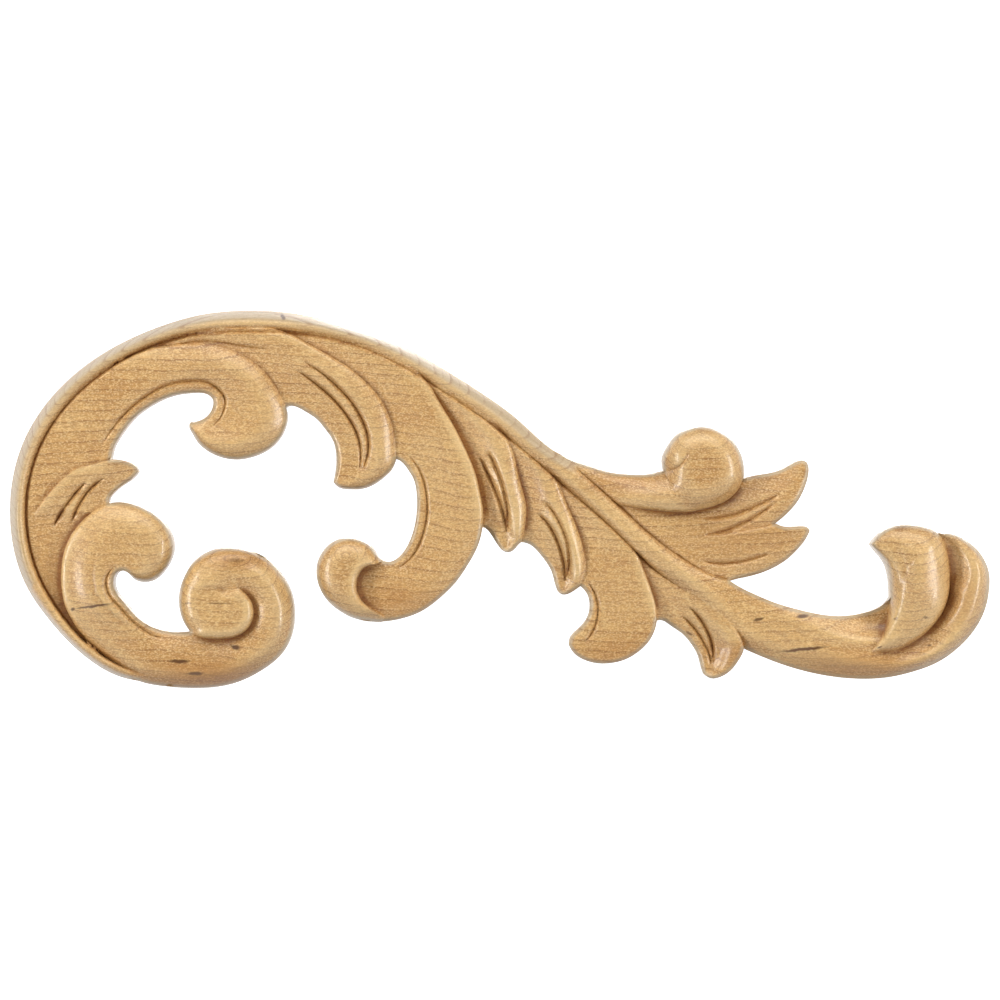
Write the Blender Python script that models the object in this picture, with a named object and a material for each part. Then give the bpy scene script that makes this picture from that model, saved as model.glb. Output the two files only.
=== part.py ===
"""Carved maple acanthus applique: one flat-backed scroll of hardwood, cut in relief.

Front faces -Y, length runs along X, height along Z. The flat back lies in the plane y = 0, and the origin
is on it, in the middle of the overall length and height.

The plan is drawn on a carver's squared sheet: columns run right, rows run down, and square (500, 500) is
the origin. Every leaf is the space between two flowing edges, with a few carved levels across it. Where
leaves lie over one another the highest one shows, so its edge stands as a step over its neighbour.
"""

import math

import bpy
import numpy as np
from mathutils import Vector, kdtree
from mathutils.geometry import delaunay_2d_cdt

# Driving sizes, in metres
LENGTH = 0.305  # left edge of the scroll to the right edge of the end volute
THICKNESS = 0.018  # flat back to the top of the ball
WALL_RUN = 0.0004  # how far a step or a side leans over its own height
EDGE_ROLL = 0.0016  # width of the rounded arris along a leaf's edge
EDGE_DROP = 0.0012  # how much lower that arris ends at the leaf's outline
BALL_FILLET = 0.0015  # hollow where a ball melts into its leaf
RAIL_CUT_WIDTH = 0.0015
RAIL_CUT_DEPTH = 0.0009
VEIN_WIDTH = 0.0019
VEIN_DEPTH = 0.0013
BEAD_WIDTH = 0.0017
BEAD_DEPTH = 0.0011
HOLLOW_WIDTH = 0.0024
HOLLOW_DEPTH = 0.0011
FINE_WIDTH = 0.0015
FINE_DEPTH = 0.0007
FACET = 0.0026  # spacing of the solid's corners along its outlines and cuts
FIELD = 0.0034  # spacing of the corners on the open surfaces between them
STEP_LOOK = 0.0006  # how far either side of an edge its step is measured
STEP_LEAST = 0.0005  # a lower step gets no line of its own
MERGE = 0.00004  # corners nearer than this are one

# The squared sheet
SHEET_LENGTH = 979  # squares from one end of the scroll to the other
SHEET_MIDDLE = 500
SHEET_THICKNESS = 18  # carved levels from the flat back to the top
SQUARE = LENGTH / SHEET_LENGTH
LEVEL = THICKNESS / SHEET_THICKNESS

CORNER_COSINE = math.cos(math.radians(24))  # a sharper turn in a line keeps its own corner
SHARP = math.radians(55)  # a sharper edge between two facets isn't shaded round
BATCH = 3000  # points measured at a time
NOWHERE = -1.0  # height where there is no wood
MAPLE = (0.73, 0.54, 0.34, 1.0)
SATIN = 0.4
NODE = "acanthus_scroll"


def on_sheet(points):
    """Columns and rows of the squared sheet as plan positions in metres."""
    grid = np.array(points, float).reshape(-1, 2)
    return np.stack([grid[:, 0] - SHEET_MIDDLE, SHEET_MIDDLE - grid[:, 1]], 1) * SQUARE


def flowing(points):
    """A smooth curve through the points, finely sampled: a natural cubic spline along the chords."""
    count = len(points)
    if count < 3:
        return np.array(points, float)
    reach = np.concatenate([[0], np.cumsum(np.linalg.norm(np.diff(points, axis=0), axis=1))])
    gap = np.diff(reach)
    matrix = np.eye(count)
    slopes = np.zeros((count, 2))
    for i in range(1, count - 1):
        matrix[i, i - 1 : i + 2] = gap[i - 1], 2 * (gap[i - 1] + gap[i]), gap[i]
        rise = np.diff(points[i - 1 : i + 2], axis=0) / gap[i - 1 : i + 1, None]
        slopes[i] = 6 * (rise[1] - rise[0])
    bend = np.linalg.solve(matrix, slopes)
    curve = []
    for i in range(count - 1):
        share = np.linspace(0, 1, 17)[:-1, None] * gap[i]
        a, b = gap[i] - share, share
        curve.append(
            (bend[i] * a**3 + bend[i + 1] * b**3) / (6 * gap[i])
            + (points[i] / gap[i] - bend[i] * gap[i] / 6) * a
            + (points[i + 1] / gap[i] - bend[i + 1] * gap[i] / 6) * b
        )
    return np.vstack(curve + [points[-1:]])


def edge_line(*stretches):
    """One edge of a leaf: smooth stretches that meet at corners."""
    lines = [flowing(on_sheet(stretch)) for stretch in stretches]
    return np.vstack([lines[0]] + [line[1:] for line in lines[1:]])


def arc_shares(line):
    steps = np.linalg.norm(np.diff(line, axis=0), axis=1)
    return np.concatenate([[0], np.cumsum(steps)])


def spaced(line, spacing):
    """The line sampled anew at an even spacing, with its sharp corners kept."""
    way = np.diff(line, axis=0)
    way /= np.linalg.norm(way, axis=1)[:, None]
    turn = np.einsum("ij,ij->i", way[:-1], way[1:])
    stops = [0, *(np.nonzero(turn < CORNER_COSINE)[0] + 1), len(line) - 1]
    reach = arc_shares(line)
    places = []
    for start, end in zip(stops[:-1], stops[1:]):
        pieces = max(1, round((reach[end] - reach[start]) / spacing))
        places.append(np.linspace(reach[start], reach[end], pieces + 1)[:-1])
    places = np.concatenate(places + [[reach[-1]]])
    return np.stack([np.interp(places, reach, line[:, axis]) for axis in (0, 1)], 1)


def nearest(points, line):
    """For each point, its distance to the line and the share of the line's length at the nearest place."""
    start, way = line[:-1], np.diff(line, axis=0)
    long2 = np.maximum((way**2).sum(1), 1e-18)
    reach = arc_shares(line)
    found, share = np.empty(len(points)), np.empty(len(points))
    for i in range(0, len(points), BATCH):
        offset = points[i : i + BATCH, None] - start
        along = np.clip((offset * way).sum(2) / long2, 0, 1)
        distance2 = ((offset - along[..., None] * way) ** 2).sum(2)
        best = distance2.argmin(1)
        rows = np.arange(len(best))
        found[i : i + BATCH] = np.sqrt(distance2[rows, best])
        share[i : i + BATCH] = reach[best] + along[rows, best] * np.sqrt(long2[best])
    return found, share / reach[-1]


def inside(points, polygon):
    """Whether each point lies in the closed polygon, by counting the sides to its right."""
    a, b = polygon, np.roll(polygon, -1, 0)
    result = np.zeros(len(points), bool)
    for i in range(0, len(points), BATCH):
        x, z = points[i : i + BATCH, :1], points[i : i + BATCH, 1:]
        spans = (a[:, 1] > z) != (b[:, 1] > z)
        rise = np.where(b[:, 1] == a[:, 1], 1e-12, b[:, 1] - a[:, 1])
        crossing = a[:, 0] + (z - a[:, 1]) * (b[:, 0] - a[:, 0]) / rise
        result[i : i + BATCH] = (spans & (x < crossing)).sum(1) % 2 == 1
    return result


def through(nodes, values, at):
    """A smooth curve through values at the nodes, read at each place."""
    nodes = np.array(nodes, float)
    values = np.array(values, float)
    if values.ndim == 1:
        values = values[:, None].repeat(len(at), 1)
    rise = np.diff(values, axis=0) / np.diff(nodes)[:, None]
    slope = np.vstack([rise[:1], (rise[:-1] + rise[1:]) / 2, rise[-1:]])
    span = np.clip(np.searchsorted(nodes, at, side="right") - 1, 0, len(nodes) - 2)
    wide = nodes[span + 1] - nodes[span]
    u = np.clip((at - nodes[span]) / wide, 0, 1)
    column = np.arange(len(at))
    low, high = values[span, column], values[span + 1, column]
    low_slope, high_slope = slope[span, column] * wide, slope[span + 1, column] * wide
    return (
        low * (1 + 2 * u) * (1 - u) ** 2
        + low_slope * u * (1 - u) ** 2
        + high * u**2 * (3 - 2 * u)
        + high_slope * u**2 * (u - 1)
    )


class Leaf:
    """The space between two edges that run from root to tip. Levels are given across it, from the first edge
    to the second, at a few shares of its length."""

    def __init__(self, name, first, second, levels, roll=1.0):
        self.name = name
        self.first = edge_line(*first)
        self.second = edge_line(*second)
        self.outline = np.vstack([self.first, self.second[-2:0:-1]])
        self.levels = levels
        self.roll = roll

    def height(self, points, depth):
        away, along = nearest(points, self.first)
        back, along_back = nearest(points, self.second)
        across = away / np.maximum(away + back, 1e-9)
        share = (along * back**2 + along_back * away**2) / np.maximum(away**2 + back**2, 1e-18)
        stations = sorted(self.levels)
        rows = [
            through(np.linspace(0, 1, len(self.levels[s])), self.levels[s], across)
            for s in stations
        ]
        top = through(stations, rows, share) if len(rows) > 1 else rows[0]
        return top * LEVEL - rolled(depth, self.roll)


class Dome:
    """A boss. It falls to its rim in a wide quarter ellipse. Its lap, the edge that stands over its neighbour,
    is rounded over a narrow width only and fades out towards the lap's free end. Between the lap's end and the
    rim's start the boss sinks into the form that carries it."""

    def __init__(self, name, rim, lap, top, edge, widths, fade=0.0, sink=0.0):
        self.name = name
        self.rim = flowing(on_sheet(rim))
        self.lap = flowing(on_sheet([rim[-1]] + lap)) if lap else self.rim[-1:]
        self.outline = np.vstack([self.rim, self.lap[1:]])
        if np.linalg.norm(self.outline[0] - self.outline[-1]) < SQUARE:
            self.outline = self.outline[:-1]
        self.top = top
        self.edge = edge
        self.widths = widths
        self.fade = fade
        self.sink = sink

    def height(self, points, depth):
        wide, narrow = self.widths[0] * SQUARE, self.widths[1] * SQUARE
        share = np.clip(1 - nearest(points, self.rim)[0] / wide, 0, 1)
        fall = (self.top - self.edge) * (1 - np.sqrt(1 - share**2))
        if len(self.lap) > 1:
            away, along = nearest(points, self.lap)
            share = np.clip(1 - away / narrow, 0, 1)
            lap_fall = 0.45 * (self.top - self.edge) * (1 - np.sqrt(1 - share**2))
            if self.fade:
                lap_fall = lap_fall * np.clip((1 - along) / self.fade, 0, 1)
            fall = np.maximum(fall, lap_fall)
        if self.sink:
            mouth, _ = nearest(points, self.outline[[-1, 0]])
            fall = fall + self.sink * np.clip(1 - mouth / wide, 0, 1) ** 2
        return (self.top - fall) * LEVEL


def rolled(depth, amount):
    """How far the surface is rounded down near an outline."""
    share = np.clip(1 - depth / (EDGE_ROLL * max(amount, 1e-6)), 0, 1)
    return EDGE_DROP * amount * (1 - np.sqrt(1 - share**2))


def rail():
    """The long rail: up the left side, over the top, down the stem and round the back of the end volute."""
    upper = [
        [(170, 681), (146, 681.5), (119, 676.5), (90, 660.5), (67, 640.5), (45, 615), (27.5, 589),
         (9.5, 512), (22.5, 443), (75.5, 373), (127, 340), (166, 324), (206, 313.5), (249, 310.2),
         (292, 312.8), (341.3, 324), (400, 345), (440.6, 367), (492, 400), (518.6, 420.3), (545, 444.3),
         (573, 464.6), (603, 491), (643, 527), (677, 554), (706, 572), (728.6, 580)],
        [(728.6, 580), (737, 585.5), (754, 594), (777, 603.4), (800, 610), (835, 616), (869, 611.5),
         (884, 604), (892, 592), (900, 570), (915, 548), (938.4, 533)],
    ]
    lower = [
        [(175, 688), (150, 677), (119, 664.5), (87, 643), (58, 610), (38, 574), (27.5, 533), (26.5, 508),
         (30.6, 476), (50.7, 428), (86, 387), (150, 347.5), (190, 335.8), (249, 332), (308, 335),
         (360, 347), (410, 371), (448, 394.5), (505, 435), (563, 485), (620, 536), (655, 570), (688, 593),
         (714, 622), (743, 648)],
        [(743, 648.5), (777, 662.5), (823, 675), (867, 678.8), (890, 677), (914, 671.4), (937.5, 662.4),
         (958.5, 647.5), (975, 629), (985.5, 608), (989.3, 588), (989.2, 574), (985, 561), (977, 549.6),
         (965, 539.6), (951, 533.4), (938.4, 533)],
    ]
    levels = {
        0.00: (7.5, 8.6, 9.6, 10, 10),
        0.06: (6.5, 9.6, 11.8, 12, 11.2),
        0.20: (6.5, 10.1, 12.6, 12.4, 10.3),
        0.55: (6.5, 10.3, 12.9, 12.6, 10.6),
        0.66: (10.5, 12.6, 13.3, 13.3, 12),
        0.70: (11.8, 12.9, 13.4, 13, 11),
        0.76: (11.5, 13, 13.6, 13, 10.4),
        0.80: (12, 12.8, 13, 12.6, 9.4),
        0.84: (11.8, 12.8, 13.2, 12.6, 8.8),
        0.885: (10.8, 12.2, 12.8, 12.6, 11.4, 10, 10.4, 12.2, 8),
        0.925: (7, 7, 7, 7, 7.4, 9.2, 12.6, 12.4, 8),
        0.96: (6.5, 6.5, 6.5, 6.5, 7.6, 10.6, 13.2, 12.4, 8),
        1.00: (9, 9.5, 10, 10.5, 9),
    }
    return Leaf("rail", upper, lower, levels, roll=0)


def crest_leaf():
    """The longest leaf: it rises inside the rail on the left and curls down at the top."""
    outer = [
        [(92, 650), (56, 612), (35, 575), (25, 533), (24, 508), (28, 475), (48, 426), (84, 384),
         (120, 361), (150, 348.5), (172, 345), (199, 343.5), (237, 352), (267, 373.7), (283, 400),
         (287.5, 416), (285, 429), (278.5, 440.4), (267.5, 450.3), (253, 456.8), (236.7, 459.6),
         (219.6, 456.8), (208.3, 451.3), (197.9, 442.2), (192, 432.6), (189.3, 425.6), (191, 422)],
    ]
    hollow = [
        [(92, 650), (78, 615), (80, 570), (98, 520), (107, 490), (112, 457), (114.2, 447.8),
         (119.4, 438.2), (129, 424.8), (139, 414.4), (150.8, 406.2), (164, 399.2), (177, 395),
         (193.4, 393), (204.2, 393.4), (210, 396), (213.2, 400), (213.2, 406.2), (210.6, 412.4),
         (206, 417.4), (197.7, 421.2), (191, 422)],
    ]
    levels = {
        0.00: (9.2, 9, 8.8, 8.6, 8.5),
        0.20: (11, 10.4, 9.8, 9.4, 9.2),
        0.40: (11.8, 11.8, 11.6, 11.2, 10.8),
        0.60: (12.4, 13.2, 13, 12.4, 11.8),
        0.78: (11.8, 14.8, 14.2, 13.2, 12),
        1.00: (11.6, 14, 13.6, 12.8, 12),
    }
    return Leaf("crest", outer, hollow, levels)


def veined_leaf():
    """The blunt leaf under the top, with two long veins."""
    outer = [
        [(150, 345), (180, 337), (205, 331), (245, 327.5), (280, 330), (297, 337.5)],
        [(297, 337.5), (308.3, 343.6), (327.4, 354.4), (349, 367.6), (364.4, 380.4), (378.4, 395.7),
         (387.3, 411), (393, 427.6), (395, 440.3), (396, 452), (396, 459), (391.2, 470.6)],
        [(391.2, 470.6), (376, 483.4), (363, 488.8), (349, 489.5), (338, 487), (333.4, 482)],
    ]
    hollow = [
        [(150, 345), (205, 362), (250, 384), (270, 400), (286, 408)],
        [(286, 408), (289, 406), (295.5, 406.6), (305.7, 411.8), (317, 419.4), (325.5, 429.4),
         (333, 440.6), (336, 453), (336, 467), (333.4, 482)],
    ]
    levels = {
        0.0: (11.4, 11.4, 11.2, 11, 10.8),
        0.15: (12.4, 12.2, 11.5, 11, 10.5),
        0.33: (13, 12.9, 11.8, 11, 10.2),
        0.6: (12.6, 14, 12.8, 11.5, 11),
        0.85: (11.4, 14, 13.2, 12.5, 11.2),
        1.0: (10.5, 12, 12, 11.5, 10.5),
    }
    return Leaf("veined", outer, hollow, levels)


def ball_leaf():
    """The large hooked leaf that ends in a ball."""
    outer = [
        [(262, 327), (300, 330), (340, 337), (380, 351), (410, 366), (428, 383), (439, 401),
         (453.4, 424.9), (465.3, 448.6), (475.2, 472.3), (481, 496), (483.6, 513.9), (482.6, 527),
         (478.2, 545.2), (468, 564.6), (456, 582), (439.2, 598.6), (422, 611), (402, 618.5),
         (380.4, 621.7), (357, 619), (341.5, 612), (328.6, 601.6), (320.1, 588.6), (316.6, 574.1),
         (317.6, 562)],
    ]
    hollow = [
        [(262, 327), (312, 368), (360, 412), (384, 440), (396, 459)],
        [(396, 459), (400.4, 461), (407.6, 469), (413.9, 480), (416.6, 492.7), (417, 506.5),
         (414.4, 526.6), (407.6, 545.3), (399, 556.8), (389.3, 561.6), (382, 559.8), (376.5, 553),
         (369.4, 544), (360.3, 539.3), (347.2, 537.4), (334, 541.2), (323.4, 550.6), (317.6, 562)],
    ]
    levels = {
        0.0: (11.5, 11.3, 11, 10.8, 10.6),
        0.3: (13, 12.8, 11.8, 10.8, 10.2),
        0.5: (13.8, 14, 12.8, 11.8, 11.5),
        0.7: (12, 13.2, 12.5, 11.5, 11),
        0.84: (11, 11.5, 11.2, 11, 10.5),
        1.0: (11, 11, 11, 11, 10.5),
    }
    return Leaf("ball_leaf", outer, hollow, levels)


def leaf_ball():
    """The ball of the hooked leaf, with a crisp lap over the leaf."""
    rim = [(386, 616), (384, 620.8), (370, 620.9), (357, 619), (341.5, 612), (328.6, 601.6),
           (320.1, 588.6), (316.6, 574.1), (317.6, 562), (323.4, 550.6), (334, 541.2), (347.2, 537.4),
           (360.3, 539.3), (369.4, 544), (376.5, 553), (384, 561.5)]
    lap = [(376, 564.6), (366, 567), (361, 571.8), (357.4, 580.5), (357.6, 591), (362, 600), (373, 609.5),
           (386, 616)]
    return Dome("leaf_ball", rim, lap, top=15.6, edge=9, widths=(22, 6), fade=0.3)


def first_frond():
    """The first of four fronds that step down the underside of the stem, each lapping the next."""
    outer = [
        [(415, 372), (462, 396), (492, 420), (511, 446), (520.5, 482.4), (526.3, 505), (526.3, 519),
         (522, 541.8)],
        [(522, 541.8), (519.5, 543.6), (514, 549.8), (507.3, 552.4), (501, 549.4)],
    ]
    hollow = [
        [(415, 372), (440, 420), (458, 455), (470, 495), (480.5, 527)],
        [(480.5, 527), (484, 527.6), (489.3, 532), (495.7, 542), (501, 549.4)],
    ]
    levels = {
        0.0: (12, 11.8, 11.5, 11, 10.5),
        0.5: (12, 13.1, 11.3, 10, 9.5),
        0.8: (11.4, 13.2, 11.4, 10, 9),
        1.0: (10.5, 10.5, 10, 10, 9.5),
    }
    return Leaf("first_frond", outer, hollow, levels, roll=0.8)


def second_frond():
    outer = [
        [(490, 414), (534, 450), (555, 476), (566, 502), (577, 527.6), (584.6, 554.7), (585.6, 567),
         (581, 585.6)],
        [(581, 585.6), (572.6, 591.6), (567, 594.3), (561.6, 594.4), (557.4, 591)],
    ]
    hollow = [
        [(490, 414), (500, 450), (511, 485), (517, 520), (520, 542)],
        [(520, 542), (529.3, 544.3), (537.3, 551), (545.8, 561.6), (552.2, 573.4), (555, 584.2),
         (557.4, 591)],
    ]
    levels = {
        0.0: (12, 11.8, 11.5, 11.2, 11),
        0.5: (12, 13.1, 11.4, 10.2, 9.5),
        0.8: (11.4, 13.2, 11.4, 10, 9),
        1.0: (10.5, 10.5, 10, 10, 9.5),
    }
    return Leaf("second_frond", outer, hollow, levels, roll=0.8)


def broad_frond():
    outer = [
        [(550, 466), (604, 510), (630, 538), (640, 560), (649.3, 584.2), (656.3, 608.5), (656.6, 621),
         (648.8, 641), (637, 652.6), (624.1, 659.8), (611, 663), (595.6, 663), (582.5, 659.1),
         (573.2, 652.4), (568.6, 645)],
    ]
    hollow = [
        [(550, 466), (554, 510), (566, 545), (580, 586)],
        [(580, 586), (584.8, 590.6), (588.4, 597.2), (589.6, 605.9), (588.3, 614.4), (583.4, 623.2),
         (576, 630.6), (569.6, 638.4), (568.6, 645)],
    ]
    levels = {
        0.0: (12, 11.8, 11.5, 11.2, 11),
        0.35: (12.8, 12.4, 11.2, 10.2, 9.5),
        0.6: (13, 12.6, 12, 11.4, 10.8),
        1.0: (10.5, 11, 11, 10.8, 10.5),
    }
    return Leaf("broad_frond", outer, hollow, levels)


def last_frond():
    outer = [
        [(628, 538), (672, 568), (703, 594), (722, 613), (732, 623.8), (739.8, 636.5), (743.4, 647.5),
         (738.2, 660), (730.1, 670.5), (719.7, 677), (710.5, 678.3), (703.3, 674)],
    ]
    hollow = [
        [(628, 538), (634, 575), (643, 600), (656, 620.6)],
        [(656, 620.6), (661, 620.3), (671, 626), (681.9, 633.5), (691.9, 644.7), (698.1, 656),
         (700.7, 666.1), (703.3, 674)],
    ]
    levels = {
        0.0: (12, 11.8, 11.5, 11.2, 11),
        0.4: (12.2, 11.8, 11, 10.2, 9.5),
        0.75: (13.6, 13.2, 11, 10, 9),
        1.0: (11, 11.2, 10.2, 10, 9.5),
    }
    return Leaf("last_frond", outer, hollow, levels, roll=0.8)


def stem_bud():
    """The bud above the stem: a tapering body that swells into a ball."""
    top = [
        [(545, 446), (572.8, 460), (590.6, 466.2), (608.5, 471.6), (636.5, 474.2), (649.3, 473.6),
         (663, 470)],
        [(663, 470), (662, 458), (667.5, 446.2), (675.3, 435.8), (687.3, 428.7), (701.6, 425.6),
         (717.3, 429.3), (730.4, 438.3), (739.5, 451.5), (743.4, 464.4), (743.7, 478)],
    ]
    underside = [
        [(545, 446), (580, 480), (605, 500), (626, 506.7), (649, 510), (687.5, 512), (712, 507.5),
         (729.6, 498.5), (739, 488.5), (743.7, 478)],
    ]
    levels = {
        0.0: (10.5, 11.4, 11.8, 11.8, 11.6),
        0.35: (9.5, 11.6, 12.4, 12.4, 12),
        0.5: (9.5, 13.2, 14.6, 14.2, 12.8),
        0.64: (9.5, 14.6, 16, 15.6, 13.6),
        1.0: (11, 13, 14, 13, 12),
    }
    return Leaf("stem_bud", top, underside, levels)


def bud_ball():
    """The ball on the bud, the highest place of the carving."""
    rim = [(663, 470), (662, 458), (667.5, 446.2), (675.3, 435.8), (687.3, 428.7), (701.6, 425.6),
           (717.3, 429.3), (730.4, 438.3), (739.5, 451.5), (743.4, 464.4), (743.4, 478), (737.5, 489.5),
           (727, 499.5), (712, 507), (697, 510.5), (682, 511.5)]
    return Dome("bud_ball", rim, [], top=18, edge=10, widths=(24, 6), sink=3.2)


def upper_leaflet():
    top = [
        [(590, 482), (640, 490), (700, 488), (743.7, 478), (756.5, 475), (769, 473), (781, 469.5),
         (790, 464.8), (797.7, 460.8), (802.4, 460), (806.8, 462.4)],
    ]
    underside = [
        [(590, 482), (640, 530), (700, 548), (742, 538.5), (762, 530), (775.7, 523)],
        [(775.7, 523), (789.5, 511), (798, 500.5), (804, 489), (808.3, 474), (808.2, 466), (806.8, 462.4)],
    ]
    levels = {
        0.0: (11.4, 11.4, 11.4, 11.4, 11.4),
        0.3: (10.4, 10.8, 11.4, 11.6, 11.4),
        0.6: (9.2, 9.8, 10.8, 11.4, 11),
        0.8: (9.2, 10, 11, 11.4, 10.5),
        1.0: (9.5, 9.8, 10, 10, 9.5),
    }
    return Leaf("upper_leaflet", top, underside, levels, roll=0.7)


def lower_leaflet():
    top = [
        [(610, 502), (660, 520), (700, 532), (740, 531), (775.7, 523.5)],
        [(775.7, 523.5), (781.4, 525.9), (792.9, 526.5), (801.5, 525.9), (807.6, 527.2), (809.7, 530.9)],
    ]
    underside = [
        [(610, 502), (650, 542), (692, 571), (729, 581)],
        [(729, 581), (737.2, 578.8), (747, 576.8), (776.2, 566.3), (788, 558.5), (798.7, 548),
         (806.3, 538), (809.7, 530.9)],
    ]
    levels = {
        0.0: (11.6, 11.6, 11.6, 11.6, 11.6),
        0.5: (11.8, 11.6, 11.4, 11.4, 11),
        0.8: (11.6, 11.6, 11.4, 11, 9.8),
        1.0: (9.5, 10, 10, 10, 9.5),
    }
    return Leaf("lower_leaflet", top, underside, levels, roll=0.7)


def volute_lobe():
    """The swollen front lobe of the end volute, standing over the rail's curled end."""
    hollow = [
        [(865, 655), (876.4, 642), (883.3, 631.7), (887, 619), (889.4, 605), (889.4, 592), (888.2, 577),
         (882.3, 560), (875.4, 551.6), (869.6, 544)],
    ]
    outer = [
        [(865, 655), (893.6, 652.3), (912, 643.2), (933.8, 624.8), (947, 601.8), (950, 573), (947, 551),
         (938.4, 534), (921.2, 526), (907.4, 524.3), (893.3, 525.6), (880.5, 532.2), (869.6, 544)],
    ]
    levels = {
        0.0: (9.5, 10.5, 11.2, 11.2, 11, 10.5, 9.5),
        0.12: (10.5, 12.6, 13.2, 13.2, 12.6, 11.8, 10.8),
        0.25: (10, 13.2, 14, 14.6, 14.4, 13.4, 11.5),
        0.5: (10, 14.4, 16.2, 17, 16.2, 14.5, 11.3),
        0.75: (10, 14.4, 16.2, 17.2, 16.5, 14.7, 11.3),
        1.0: (10, 12.5, 13.2, 13.5, 13.4, 12.6, 11.5),
    }
    return Leaf("volute_lobe", hollow, outer, levels)


def side_leaflet():
    """The small pointed leaf in the hollow on the left."""
    top = [
        [(30, 540), (32, 521.6), (45.9, 497.7), (57.4, 484.3), (68.9, 473.8), (79.4, 467.5), (95, 463.5),
         (112, 459.5), (122.4, 460.2), (131, 462.7), (136.8, 467), (138.7, 471.8)],
    ]
    underside = [
        [(30, 540), (62, 562), (90, 548), (110, 522), (112.4, 508), (109.2, 500.4), (112.9, 493.8),
         (124.4, 484.3), (133.9, 477.6), (138.7, 471.8)],
    ]
    levels = {
        0.0: (9, 9, 9, 9, 9),
        0.25: (12.2, 11.6, 10, 8.6, 8),
        0.5: (13, 12.8, 11.6, 10, 8.8),
        0.8: (13.4, 13.4, 12.8, 12, 11.2),
        1.0: (11.5, 11.5, 11.5, 11.5, 11),
    }
    return Leaf("side_leaflet", top, underside, levels, roll=0.6)


def lower_scroll():
    """The broad scroll along the bottom: a hooked ball on the left, a snail volute on the right."""
    outer = [
        [(129.6, 573), (133.5, 578.3), (143, 582), (153.3, 580.6), (163.6, 571.9), (171.4, 559),
         (174, 544.5), (169.4, 530), (160.9, 518.7), (147.9, 509.4), (133.5, 503.7), (119.3, 502),
         (106, 504.5), (91.2, 513), (78, 525.5), (65.5, 547.4), (61.2, 573), (64.5, 603.5), (73, 621.7),
         (87, 641.4), (112, 664), (135, 679.5), (165, 686.4), (200, 688.2), (235.3, 683), (262.8, 669.8),
         (281.4, 654.3), (291.2, 636.7), (294.6, 614.6), (291.4, 592.6), (283.4, 576.6), (269.4, 560.4),
         (248.6, 550), (229.6, 547.2), (213, 549.7), (197.4, 558.4), (186.4, 573), (183, 582)],
    ]
    hollow = [
        [(129.6, 573), (124.8, 570.6), (119.8, 571.4), (115.5, 577), (116, 589.2), (124, 600.6),
         (137.4, 616), (152.5, 626.2), (172, 631.4), (190.6, 631.6)],
        [(190.6, 631.6), (212, 630), (230, 624), (240, 612), (240, 600), (233, 592), (222, 588),
         (205, 588), (192, 590), (183, 582)],
    ]
    levels = {
        0.0: (10, 14, 16, 16, 15.5),
        0.08: (11, 15, 16.2, 16, 15),
        0.15: (11.8, 15.4, 16, 15.2, 13.8),
        0.25: (12.8, 14.6, 15, 14, 12.5),
        0.37: (12.2, 13, 13.2, 12.5, 11),
        0.45: (9.5, 12.4, 13, 12.6, 11.4),
        0.55: (9.5, 13, 13.2, 12.5, 11.8),
        0.66: (9, 13.4, 13.4, 12, 11.6),
        0.74: (9.5, 13.6, 14.2, 13, 12.4),
        0.8: (9.5, 14.2, 15.4, 15.4, 15),
        0.88: (9.5, 14, 16, 16.5, 16.5),
        1.0: (9.5, 12, 13, 14, 14),
    }
    return Leaf("lower_scroll", outer, hollow, levels)


def scroll_ball():
    """The hooked ball at the left end of the lower scroll."""
    rim = [(106, 504.5), (119.3, 502), (133.5, 503.7), (147.9, 509.4), (160.9, 518.7), (169.4, 530),
           (174, 544.5), (171.4, 559), (163.6, 571.9), (153.3, 580.6), (143, 582), (133.5, 578.3),
           (129.6, 573)]
    return Dome("scroll_ball", rim, [], top=16.4, edge=9.5, widths=(26, 6), sink=2.0)


def volute_eye():
    """The raised eye of the snail volute. Its spiral edge starts as a hairline at the top."""
    rim = [(269.4, 560.4), (248.6, 550), (229.6, 547.2), (213, 549.7), (197.4, 558.4), (186.4, 573),
           (179.8, 590.6), (179.3, 606.2), (183.2, 620.5), (190.6, 632)]
    lap = [(200, 636.6), (213, 638.8), (226, 638.6), (238, 636), (246.5, 630.5), (252.2, 622.5),
           (254.6, 613), (253, 603), (247, 594), (238, 586.5), (225.8, 582)]
    return Dome("volute_eye", rim, lap, top=16, edge=9.5, widths=(19, 9), fade=0.3, sink=3.0)


def leaves():
    """The carving in families: the members of one family run smoothly into each other."""
    return [
        [rail()],
        [crest_leaf()],
        [veined_leaf()],
        [ball_leaf(), leaf_ball()],
        [first_frond()],
        [second_frond()],
        [broad_frond()],
        [last_frond()],
        [stem_bud(), bud_ball()],
        [upper_leaflet()],
        [lower_leaflet()],
        [volute_lobe()],
        [side_leaflet()],
        [lower_scroll(), scroll_ball(), volute_eye()],
    ]


class Cut:
    """A V-shaped gouge cut along a line. It runs out to nothing at its ends."""

    def __init__(self, points, width, depth, ends=0.25):
        self.line = flowing(on_sheet(points))
        self.width = width
        self.depth = depth
        self.ends = ends

    def depth_at(self, points):
        away, along = nearest(points, self.line)
        fade = np.clip(np.minimum(along, 1 - along) / self.ends, 0, 1)
        wall = np.clip(1 - away / (self.width / 2 * (0.35 + 0.65 * fade)), 0, 1)
        return self.depth * wall * np.sqrt(fade * (2 - fade))


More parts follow.
